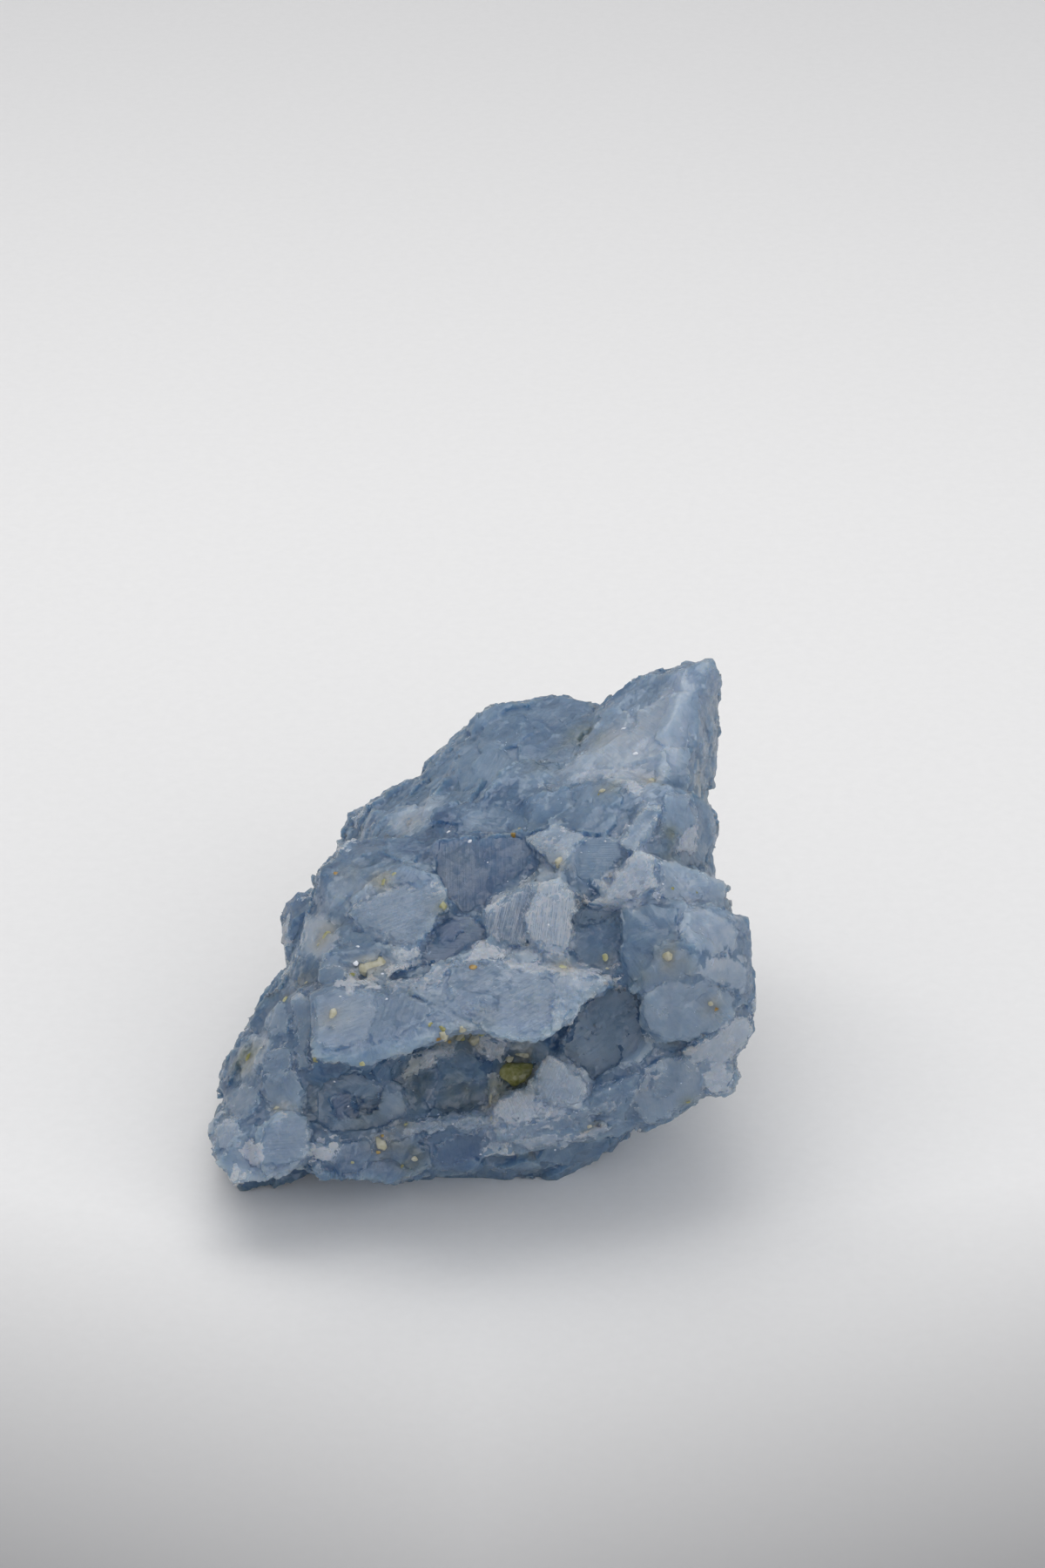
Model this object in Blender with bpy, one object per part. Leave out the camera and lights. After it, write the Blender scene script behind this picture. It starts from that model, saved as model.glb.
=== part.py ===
# Raw blue calcite: one broken chunk of coarse, grown-together calcite grains.
#
# The stone is one piece.  Its grains are convex blocks that overlap and are
# united into a single closed solid.  Lengths are metres, +Z is up, the chunk
# stands on the small cleavage face under it at Z = 0, and the long ridge runs
# along Y from the low, overhanging front edge (-Y) to the high back (+Y).
import math
import random

import bmesh
import bpy
from mathutils import Euler, Matrix, Vector

# ---- driving dimensions ----------------------------------------------------
MM = 0.001
UNIT = 0.072 * MM            # one layout unit on the reference plane
SIGHT_DISTANCE = 450.0 * MM  # distance from which the front grains are laid out
SIGHT_TILT = math.radians(28.0)   # downward tilt of the layout direction
LAYOUT_X0 = 600.0            # layout column above the object's centre plane
LAYOUT_Y0 = 900.0            # layout row of the layout axis
FLOOR_ROW = 1468.0           # layout row where the reference plane meets the floor
SHIFT_X = 3.5 * MM           # moves the chunk's box centre onto X = 0
SHIFT_Y = -29.4 * MM         # moves the chunk's box centre onto Y = 0
CLEAVAGE_ANGLE = math.radians(75.0)   # acute angle of a calcite cleavage rhomb
FLOOR_CUT = 60.0 * MM        # size of the block that trims the resting face

AXIS_UP = Vector((0.0, math.sin(SIGHT_TILT), math.cos(SIGHT_TILT)))
AXIS_IN = Vector((0.0, math.cos(SIGHT_TILT), -math.sin(SIGHT_TILT)))
AXIS_X = Vector((1.0, 0.0, 0.0))

# Front grains: name, outline as (column, row, depth in mm), thickness in mm,
# and how far the hidden side narrows.
GRAINS = [
    # inner mass
    ("core_low", [(330, 1150, 9), (360, 1140, 6), (500, 1140, 4), (700, 1135, 4), (840, 1085, 5), (850, 1180, 5),
                  (800, 1245, 5), (700, 1285, 6), (560, 1312, 6), (375, 1330, 6), (300, 1315, 6), (278, 1260, 10)], 20, 0.74),
    ("core_mid", [(385, 1010, 13), (430, 968, 16), (520, 945, 15), (640, 925, 10), (740, 920, 7), (808, 950, 10),
                  (822, 1020, 6), (838, 1080, 5), (700, 1135, 4), (500, 1135, 5), (365, 1130, 8)], 25, 0.86),
    ("core_back", [(440, 935, 29), (500, 888, 28), (560, 838, 27), (640, 818, 25), (700, 822, 21), (770, 812, 17),
                   (812, 815, 19), (816, 900, 20), (640, 935, 13), (500, 965, 15)], 13, 0.92),
    # pinnacle
    ("pinnacle", [(690, 813, 20), (712, 792, 18), (745, 774, 16.5), (790, 761, 14.5), (815, 757, 15), (828, 778, 16.5),
                  (825, 850, 18), (820, 905, 18), (786, 908, 7.5), (772, 830, 10), (640, 893, 13), (700, 908, 8.5)], 9, 0.90),
    ("pin_foot", [(622, 902, 12), (650, 884, 12.5), (700, 846, 13.2), (735, 832, 12), (762, 868, 8.6), (775, 903, 6.5),
                  (735, 910, 7), (690, 914, 8)], 12, 0.95),
    # hump behind on the left
    ("hump_a", [(549, 820, 25), (575, 811, 24.5), (610, 805, 24), (654, 804, 23), (690, 812, 21), (700, 860, 15),
                (640, 893, 13), (590, 872, 16.5), (553, 852, 22)], 12, 0.92),
    ("hump_b", [(489, 876, 28), (523, 846, 27), (550, 822, 26), (585, 850, 20), (592, 900, 14.5), (540, 932, 13.5),
                (498, 922, 19)], 11, 0.92),
    ("hump_c", [(411, 946, 28), (428, 920, 28), (463, 900, 27.5), (500, 884, 26), (524, 930, 14.5), (484, 968, 12.5),
                (428, 968, 17)], 10, 0.90),
    ("hump_d", [(560, 905, 13), (600, 868, 15), (635, 885, 12), (640, 920, 9.5), (600, 945, 9.5), (555, 940, 11)], 8, 0.9),
    ("hump_e", [(500, 930, 14), (560, 915, 12.5), (600, 940, 9.5), (590, 962, 8.5), (520, 965, 10.5), (495, 955, 12.5)], 8, 0.9),
    ("spur", [(327, 1045, 27), (345, 1031, 27), (378, 1040, 21), (385, 1090, 18), (375, 1118, 18), (332, 1112, 24)], 10, 0.9),
    # shoulder
    ("sh_left", [(636, 940, 7), (660, 908, 8), (690, 894, 8), (725, 894, 6.5), (744, 903, 4.5), (735, 930, 3),
                 (722, 965, 1.8), (700, 968, 2), (662, 960, 3.2), (640, 952, 5)], 12, 0.95),
    ("sh_mid", [(742, 903, 4.5), (775, 904, 4.5), (792, 912, 5), (780, 955, 2.2), (765, 985, 1.2), (735, 979, 0.9),
                (755, 940, 1.6)], 12, 0.95),
    ("sh_right", [(775, 905, 5), (800, 917, 6), (819, 934, 7.5), (824, 950, 8.5), (820, 970, 8.5), (811, 985, 8.5),
                  (806, 1000, 6.5), (765, 988, 1.6), (782, 950, 2.6)], 12, 0.92),
    ("sh_strip", [(744, 925, 1.2), (758, 932, 1.2), (750, 955, 0.7), (734, 978, 0.2), (709, 970, 0.6), (722, 955, 1.0),
                  (732, 935, 1.4)], 3, 0.95),
    ("flake_f", [(732, 978, -1.2), (750, 985, -1.7), (746, 1004, -1.8), (753, 1012, -1.8), (733, 1031, -1.6),
                 (706, 1036, -1), (691, 1035, -0.6), (709, 1008, -0.3)], 4, 0.95),
    ("slab_g", [(748, 985, -1), (800, 1000, 0), (828, 1013, 1.2), (834, 1019, 1.6), (834, 1028, 1.6), (821, 1040, 1.2),
                (785, 1038, -1), (742, 1036, -1.6), (745, 1005, -1.2)], 9, 0.9),
    ("facet_e", [(655, 985, 2.4), (662, 960, 3.2), (700, 961, 2.4), (728, 974, 1.4), (718, 986, 1.2), (700, 1001, 1.1),
                 (683, 1011, 1.1), (668, 1012, 1.6), (655, 1000, 2.2)], 8, 0.95),
    ("facet_d", [(606, 964, 4.4), (625, 955, 4.8), (648, 945, 4.8), (672, 958, 3), (656, 975, 1.8), (646, 996, 1.2),
                 (632, 985, 2.2), (616, 976, 3.4)], 6, 0.92),
    ("facet_d2", [(640, 1012, 3), (655, 990, 3), (690, 1008, 2.2), (712, 1030, 1.6), (690, 1046, 1.8), (660, 1036, 2.4)], 8, 0.95),
    ("facet_j", [(500, 966, 9.5), (600, 955, 8), (632, 990, 5), (578, 1020, 5), (552, 1046, 5.4), (505, 1040, 6.5),
                 (478, 1000, 9.5)], 12, 0.95),
    ("fibre_i", [(618, 1013, 0.6), (645, 1010, 0.6), (660, 1024, 0.2), (656, 1060, -0.1), (652, 1086, -0.6),
                 (640, 1097, -1), (624, 1090, -1), (606, 1076, -0.5), (609, 1042, 0.5)], 7, 0.95),
    ("fibre_i2", [(554, 1052, 2.8), (580, 1026, 2.8), (616, 1012, 1.6), (613, 1060, 0.6), (601, 1086, 0.2),
                  (572, 1083, 0.6), (556, 1068, 1.8)], 8, 0.95),
    ("facet_h", [(655, 1072, 1.6), (690, 1055, 1.2), (714, 1038, 0.4), (716, 1080, -0.4), (716, 1124, -1.2),
                 (690, 1112, -0.6), (660, 1098, 0.4)], 10, 0.95),
    ("facet_k", [(402, 1032, 7.2), (440, 1002, 7.4), (470, 996, 7.2), (504, 1006, 5.4), (515, 1030, 4.2), (499, 1052, 3.8),
                 (476, 1091, 2.4), (440, 1086, 3), (406, 1060, 6)], 10, 0.95),
    ("facet_k0", [(368, 1000, 12), (398, 970, 14), (440, 962, 14), (500, 966, 10.5), (500, 1002, 8), (440, 1002, 8.4),
                  (385, 1052, 8.4), (356, 1046, 12)], 14, 0.92),
    ("facet_k2", [(354, 1052, 11), (400, 1036, 8), (432, 1076, 4), (402, 1112, 3.4), (350, 1126, 6.6), (332, 1118, 10)], 12, 0.92),
    ("facet_l", [(430, 1078, 4.2), (478, 1096, 3.2), (498, 1054, 4.4), (546, 1050, 4), (562, 1078, 1.8), (520, 1104, 1.2),
                 (490, 1124, 1.2), (440, 1118, 2.2)], 8, 0.95),
    # ledge across the front
    ("ledge_n", [(470, 1138, -2), (500, 1106, 0), (545, 1090, 0), (600, 1100, -0.4), (660, 1113, -1.2), (716, 1123, -1.8),
                 (703, 1136, -3), (672, 1152, -5), (655, 1174, -6.6), (632, 1191, -7.6), (600, 1198, -8), (565, 1189, -7.6),
                 (530, 1172, -6.6), (500, 1154, -5)], 8, 0.8),
    ("ledge_o", [(356, 1142, 0.4), (382, 1123, 0.8), (432, 1130, 0.2), (486, 1140, -2), (508, 1158, -4.6), (478, 1186, -6),
                 (446, 1211, -6.2), (420, 1224, -6), (362, 1216, -5.2), (358, 1180, -3)], 9, 0.86),
    # right-hand bulge
    ("bulge_a", [(712, 1038, -1), (785, 1038, -2), (765, 1080, -4), (722, 1140, -3.2), (716, 1120, -2.6), (713, 1075, -1.6)], 14, 0.95),
    ("bulge_b", [(783, 1037, -2), (822, 1042, -1.4), (838, 1052, -0.8), (856, 1055, 0.6), (858, 1080, 0.4), (800, 1086, -6),
                 (762, 1078, -4.6)], 14, 0.88),
    ("bulge_c", [(762, 1080, -4.6), (800, 1086, -6.2), (858, 1080, 0.4), (864, 1113, 0.6), (867, 1143, 1.4), (850, 1152, -1),
                 (790, 1132, -5), (722, 1140, -3.2)], 14, 0.88),
    ("bulge_d", [(741, 1142, -3.8), (790, 1130, -4.8), (848, 1152, -1.4), (836, 1178, -1.8), (780, 1193, -2.8),
                 (756, 1193, -2.2), (738, 1172, -2.8)], 12, 0.9),
    ("bulge_e", [(867, 1143, 1.6), (865, 1180, 1.8), (857, 1203, 2.2), (822, 1223, 1), (786, 1213, 0), (800, 1196, -1.2),
                 (838, 1175, -1.2)], 11, 0.86),
    ("bulge_f", [(807, 1223, 0), (840, 1220, 1), (848, 1235, 1.6), (844, 1246, 1.8), (835, 1256, 1.8), (815, 1257, 1.2),
                 (805, 1243, 0.6)], 7, 0.9),
    ("bulge_g", [(745, 1205, 0), (786, 1213, 0), (806, 1236, 0.8), (811, 1253, 1.6), (797, 1266, 2.2), (770, 1282, 2.8),
                 (745, 1292, 3.2), (712, 1299, 3.8), (725, 1260, 1.6), (735, 1225, 0.6)], 12, 0.9),
    ("wall_q", [(640, 1202, 3.2), (655, 1176, 3), (690, 1130, 2), (718, 1125, 1.2), (735, 1166, 0.8), (746, 1202, 1),
                (716, 1226, 1.6), (672, 1246, 2), (660, 1226, 2.6)], 12, 0.95),
    # hollow under the ledge, its flakes and the bands below
    ("flake_w1", [(632, 1213, 0.8), (641, 1214, 0.8), (664, 1237, 0.4), (675, 1255, 0.4), (660, 1266, 0.4), (621, 1267, 0.4),
                  (611, 1246, 0.8), (620, 1223, 0.9)], 4, 0.95),
    ("flake_w2", [(567, 1279, 1), (579, 1256, 1.1), (606, 1249, 1), (617, 1262, 0.8), (624, 1274, 0.5), (601, 1289, 0.4),
                  (575, 1291, 0.7)], 4, 0.95),
    ("hollow", [(430, 1200, 5.6), (500, 1172, 6.4), (560, 1190, 6.4), (640, 1200, 4.4), (662, 1240, 3.2), (600, 1262, 3.4),
                (540, 1292, 3.6), (450, 1292, 3.6), (426, 1232, 4.4)], 12, 0.95),
    ("band_a", [(545, 1291, 1.6), (600, 1289, 0.6), (680, 1263, 0.2), (742, 1234, 0), (727, 1262, 1.2), (712, 1300, 3.4),
                (650, 1312, 2.8), (600, 1322, 3.2), (560, 1322, 3.2)], 10, 0.9),
    ("band_b", [(488, 1292, 2.4), (545, 1282, 1.8), (562, 1320, 2.8), (541, 1341, 4.2), (500, 1338, 3.8)], 8, 0.92),
    ("band_c", [(352, 1300, 3), (430, 1290, 3.2), (490, 1290, 2.8), (503, 1336, 3.4), (476, 1352, 3.4), (454, 1358, 3.2),
                (411, 1352, 2.8), (363, 1349, 2.4), (348, 1322, 2.2)], 10, 0.88),
    ("wall_t", [(348, 1232, 2.8), (430, 1226, 3.4), (462, 1270, 3.4), (442, 1296, 3.4), (358, 1302, 2.8), (344, 1270, 2.4)], 12, 0.95),
    # left flank
    ("flank_a", [(300, 1216, 4.4), (322, 1152, 6.6), (345, 1131, 5.4), (357, 1150, 3.4), (360, 1226, 2.4), (350, 1286, 1.8),
                 (320, 1276, 1.8), (302, 1242, 3.4)], 12, 0.92),
    ("flank_b", [(254, 1242, 10), (268, 1208, 11), (289, 1178, 12), (310, 1148, 12), (326, 1118, 12), (347, 1131, 7.6),
                 (326, 1160, 6.8), (303, 1216, 4.8), (305, 1260, 3.4), (270, 1276, 5.4), (254, 1262, 8.4)], 14, 0.85),
    ("flank_c", [(242, 1292, 6.6), (255, 1270, 7), (300, 1255, 3.6), (320, 1280, 1.8), (290, 1300, 1.2), (250, 1334, 1.8),
                 (245, 1314, 3.4)], 9, 0.88),
    ("slab_x1", [(290, 1301, 0.4), (320, 1276, 0.8), (350, 1285, 1.2), (353, 1300, 1.2), (360, 1321, 1.4), (350, 1331, 0.6),
                 (300, 1346, -0.4), (296, 1320, 0)], 7, 0.9),
    ("tip_x2", [(250, 1333, 1.8), (265, 1340, 0.9), (268, 1357, 0.8), (305, 1356, 0.2), (345, 1337, 0.5), (356, 1324, 1.2),
                (300, 1300, 0.8), (270, 1300, 1.4)], 7, 0.88),
    # underside towards the front
    ("keel", [(520, 1330, 8), (560, 1341, 8.6), (600, 1342, 8.6), (650, 1335, 10), (694, 1319, 11.5), (702, 1296, 9.5),
              (600, 1296, 5), (520, 1305, 6)], 9, 0.9),
]

# Rings of points (x, y, z in mm, before the centring shift) for the two big
# hidden masses: the foot the chunk stands on and the body behind the front.
RINGS = [
    ("foot", [(-1.0, [(-17, 18), (-10, 15.6), (3, 16), (7.5, 22), (6.5, 35), (-3, 41.5), (-15, 40), (-20.5, 30)]),
              (8.0, [(-21.5, 15), (-8, 12), (8, 12), (15, 20), (14, 36), (-4, 45), (-18, 43), (-24, 28)])]),
    ("back_mass", [(7.0, [(-19, 24), (13, 20), (14.5, 36), (-3, 44), (-16, 41)]),
                   (15.0, [(-18, 28), (15, 22), (15.5, 38), (-2, 47), (-14.5, 43)]),
                   (21.5, [(-12, 30), (13, 25), (14, 38), (-2, 46), (-11, 43)]),
                   (29.0, [(1, 32), (11, 28), (12, 38), (1, 43)])]),
]

# Cleavage rhombs on the far and under sides: name, centre (mm), edge (mm),
# (yaw, pitch, roll in degrees).
RHOMBS = [
    ("rear_a", (-10.8, 42.8, 12.0), (12, 8, 12), (14, 8, 6)),
    ("rear_b", (-1.0, 44.0, 11.5), (12, 8, 11), (-12, -10, 10)),
    ("rear_c", (8.2, 39.5, 14.0), (10, 9, 13), (-38, 6, -8)),
    ("rear_d", (-2.6, 43.5, 18.6), (11, 8, 10), (6, 12, -12)),
    ("rear_e", (5.2, 41.5, 21.0), (11, 8, 11), (-20, 4, 10)),
    ("rear_f", (9.0, 33.0, 23.5), (8, 9, 10), (-20, -6, 6)),
    ("rear_g", (1.5, 41.5, 6.0), (11, 7, 8), (-16, -14, 0)),
    ("rear_h", (-10.0, 39.5, 6.0), (10, 7, 8), (22, -12, 4)),
    ("right_a", (11.4, 24.0, 18.5), (8, 11, 10), (8, 8, -6)),
    ("right_b", (11.2, 17.5, 12.0), (8, 11, 9), (-14, -8, 8)),
    ("right_c", (10.4, 29.5, 10.0), (8, 11, 9), (-24, 12, 4)),
    ("right_d", (12.0, 17.0, 21.5), (6, 9, 8), (12, 0, -8)),
    ("left_a", (-17.6, 29.0, 8.0), (8, 11, 8), (-10, 8, 8)),
    ("left_b", (-13.8, 36.5, 11.5), (8, 10, 9), (18, -8, -6)),
    ("left_c", (-13.6, 30.0, 15.8), (7, 10, 8), (10, 10, 10)),
    ("under_a", (-19.6, 19.5, 4.8), (9, 9, 6), (18, 12, -6)),
    ("under_b", (7.6, 20.5, 8.0), (8, 8, 6), (-28, -10, 8)),
    ("under_c", (-3.0, 14.4, 6.4), (12, 6, 5), (8, 10, 0)),
    # two that only fill gaps between the grains inside
    ("inner_a", (5.0, 23.6, 27.8), (5, 5, 5), (0, 0, 0)),
    ("inner_b", (-13.2, 24.2, 20.8), (5, 5, 5), (0, 0, 0)),
    ("inner_c", (-19.0, 24.4, 8.6), (6, 5, 5), (0, 0, 0)),
    ("inner_d", (-5.8, 34.4, 25.2), (4, 4, 4), (0, 0, 0)),
]


def clear_scene():
    for ob in list(bpy.data.objects):
        bpy.data.objects.remove(ob, do_unlink=True)
    for me in list(bpy.data.meshes):
        bpy.data.meshes.remove(me)


def layout_point(col, row, depth_mm):
    """World point of a layout column/row at a depth behind the reference plane."""
    depth = depth_mm * MM
    step = UNIT * (1.0 + depth / SIGHT_DISTANCE)
    start = AXIS_UP * ((FLOOR_ROW - LAYOUT_Y0) * UNIT)
    point = start + AXIS_IN * depth + AXIS_X * ((col - LAYOUT_X0) * step) + AXIS_UP * ((LAYOUT_Y0 - row) * step)
    return point + Vector((SHIFT_X, SHIFT_Y, 0.0))


def world_point(x, y, z):
    return Vector((x * MM + SHIFT_X, y * MM + SHIFT_Y, z * MM))


def hull_mesh(name, points):
    bm = bmesh.new()
    for p in points:
        bm.verts.new(p)
    bmesh.ops.remove_doubles(bm, verts=bm.verts, dist=1e-6)
    out = bmesh.ops.convex_hull(bm, input=bm.verts)
    spare = {e for e in out["geom_interior"] + out["geom_unused"] if isinstance(e, bmesh.types.BMVert)}
    bmesh.ops.delete(bm, geom=sorted(spare, key=lambda v: v.index), context="VERTS")
    bmesh.ops.recalc_face_normals(bm, faces=bm.faces)
    me = bpy.data.meshes.new(name)
    bm.to_mesh(me)
    bm.free()
    return me


def grain_mesh(name, outline, thickness, narrowing):
    cx = sum(p[0] for p in outline) / len(outline)
    cy = sum(p[1] for p in outline) / len(outline)
    points = [layout_point(*p) for p in outline]
    for col, row, depth in outline:
        points.append(layout_point(cx + (col - cx) * narrowing, cy + (row - cy) * narrowing, depth + thickness))
    return hull_mesh(name, points)


def ring_mesh(name, rings):
    return hull_mesh(name, [world_point(x, y, z) for z, ring in rings for x, y in ring])


def rhomb_mesh(name, centre, edges, angles):
    """A cube sheared to the cleavage angle, scaled, turned and put in place."""
    lean = math.cos(CLEAVAGE_ANGLE)
    shear = Matrix(((1.0, lean, lean * 0.6, 0.0), (0.0, 1.0, lean, 0.0), (0.0, 0.0, 1.0, 0.0), (0.0, 0.0, 0.0, 1.0)))
    turn = Euler([math.radians(a) for a in (angles[1], angles[2], angles[0])], "XYZ").to_matrix().to_4x4()
    size = Matrix.Diagonal((edges[0] * MM, edges[1] * MM, edges[2] * MM, 1.0))
    bm = bmesh.new()
    bmesh.ops.create_cube(bm, size=1.0, matrix=Matrix.Translation(world_point(*centre)) @ turn @ shear @ size)
    # Two broken corners on every rhomb, placed by a seed so that each differs.
    rng = random.Random(name)
    middle = world_point(*centre)
    for _ in range(2):
        corner = rng.choice(sorted(bm.verts, key=lambda v: tuple(round(c, 7) for c in v.co)))
        away = (corner.co - middle)
        cut = middle + away * rng.uniform(0.62, 0.74)
        geom = list(bm.verts) + list(bm.edges) + list(bm.faces)
        res = bmesh.ops.bisect_plane(bm, geom=geom, plane_co=cut, plane_no=away.normalized(), clear_outer=True)
        rim = [e for e in res["geom_cut"] if isinstance(e, bmesh.types.BMEdge)]
        bmesh.ops.contextual_create(bm, geom=rim)
    bmesh.ops.recalc_face_normals(bm, faces=bm.faces)
    me = bpy.data.meshes.new(name)
    bm.to_mesh(me)
    bm.free()
    return me


def put(name, mesh, collection, cutter=True):
    ob = bpy.data.objects.new(name, mesh)
    collection.objects.link(ob)
    if cutter:
        ob.display_type = "WIRE"
        ob.hide_render = True
    return ob


def stone_material():
    mat = bpy.data.materials.new("blue_calcite")
    mat.use_nodes = True
    bsdf = mat.node_tree.nodes.get("Principled BSDF")
    bsdf.inputs["Base Color"].default_value = (0.27, 0.38, 0.55, 1.0)
    bsdf.inputs["Roughness"].default_value = 0.34
    bsdf.inputs["IOR"].default_value = 1.59
    mat.diffuse_color = (0.27, 0.38, 0.55, 1.0)
    return mat


def main():
    clear_scene()
    body = bpy.data.collections.new("raw_blue_calcite")
    tools = bpy.data.collections.new("grain_blocks")
    trims = bpy.data.collections.new("trim_blocks")
    for col in (body, tools, trims):
        bpy.context.scene.collection.children.link(col)
    tools.hide_render = True
    trims.hide_render = True

    blocks = [(name, ring_mesh(name, rings)) for name, rings in RINGS]
    blocks += [(g[0], grain_mesh(*g)) for g in GRAINS]
    blocks += [(r[0], rhomb_mesh(*r)) for r in RHOMBS]

    # the first block is the base object; the others are united with it
    stone = put("blue_calcite", blocks[0][1], body, cutter=False)
    stone.data.name = "blue_calcite"
    stone.data.materials.append(stone_material())
    for name, me in blocks[1:]:
        put(name, me, tools)

    join = stone.modifiers.new("grow_together", "BOOLEAN")
    join.operation = "UNION"
    join.solver = "EXACT"
    join.operand_type = "COLLECTION"
    join.collection = tools

    # the small resting face: everything under Z = 0 is cut away
    trim = bpy.data.meshes.new("floor_cut")
    bm = bmesh.new()
    bmesh.ops.create_cube(bm, size=1.0, matrix=Matrix.Translation((0, 0, -FLOOR_CUT / 2)) @ Matrix.Diagonal((2 * FLOOR_CUT, 2 * FLOOR_CUT, FLOOR_CUT, 1)))
    bm.to_mesh(trim)
    bm.free()
    floor = put("floor_cut", trim, trims)
    cut = stone.modifiers.new("resting_face", "BOOLEAN")
    cut.operation = "DIFFERENCE"
    cut.solver = "EXACT"
    cut.object = floor


main()
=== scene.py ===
# Raw blue calcite: the visible stone, its inclusions, a pale floor, soft light and the camera.
#
# The stone's surface is worked out as a distance field: the same grown-together
# grains as the solid part, each split into thin cleavage layers with ragged
# rims, plus small plates and notches.  The field is turned into one mesh.
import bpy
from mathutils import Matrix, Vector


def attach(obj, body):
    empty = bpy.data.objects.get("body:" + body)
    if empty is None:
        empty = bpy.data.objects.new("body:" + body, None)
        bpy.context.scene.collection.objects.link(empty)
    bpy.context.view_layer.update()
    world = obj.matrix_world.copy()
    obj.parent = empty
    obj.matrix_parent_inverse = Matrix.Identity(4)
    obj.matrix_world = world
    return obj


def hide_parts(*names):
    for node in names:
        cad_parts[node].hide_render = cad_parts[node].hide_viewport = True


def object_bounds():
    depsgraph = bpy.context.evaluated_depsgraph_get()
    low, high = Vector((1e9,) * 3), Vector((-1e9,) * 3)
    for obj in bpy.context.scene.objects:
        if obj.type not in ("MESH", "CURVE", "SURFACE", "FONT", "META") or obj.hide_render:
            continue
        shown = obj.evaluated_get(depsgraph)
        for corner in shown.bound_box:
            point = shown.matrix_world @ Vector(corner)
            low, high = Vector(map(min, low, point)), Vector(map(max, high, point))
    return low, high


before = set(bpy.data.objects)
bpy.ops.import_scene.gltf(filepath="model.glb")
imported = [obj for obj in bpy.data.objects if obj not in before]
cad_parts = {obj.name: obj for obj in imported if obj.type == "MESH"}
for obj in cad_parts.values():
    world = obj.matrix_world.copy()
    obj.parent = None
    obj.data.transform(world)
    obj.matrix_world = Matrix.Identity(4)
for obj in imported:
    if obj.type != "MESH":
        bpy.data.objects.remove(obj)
CAD_BOX = [list(map(float, c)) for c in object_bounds()]

import math
import random

import bmesh
import bpy
import numpy as np
from mathutils import Euler, Matrix, Vector
from mathutils.bvhtree import BVHTree

STEP = 0.19          # field spacing, mm
MAX_TRIS = 190000

# ---- layout, as in the solid part (mm here) ---------------------------------
UNIT = 0.072
SIGHT = 450.0
TILT = math.radians(28.0)
COL0, ROW0, FLOOR_ROW = 600.0, 900.0, 1468.0
SHIFT = np.array([3.5, -29.4, 0.0])
UP = np.array([0.0, math.sin(TILT), math.cos(TILT)])
IN = np.array([0.0, math.cos(TILT), -math.sin(TILT)])
EX = np.array([1.0, 0.0, 0.0])
AXIS0 = UP * ((FLOOR_ROW - ROW0) * UNIT) + SHIFT
EYE = AXIS0 - IN * SIGHT


def lay(col, row, depth):
    f = UNIT * (1.0 + depth / SIGHT)
    return AXIS0 + IN * depth + EX * ((col - COL0) * f) + UP * ((ROW0 - row) * f)


def project(P):
    q = P - AXIS0
    d = q @ IN
    f = UNIT * (1.0 + d / SIGHT)
    return COL0 + (q @ EX) / f, ROW0 - (q @ UP) / f, d


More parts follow.
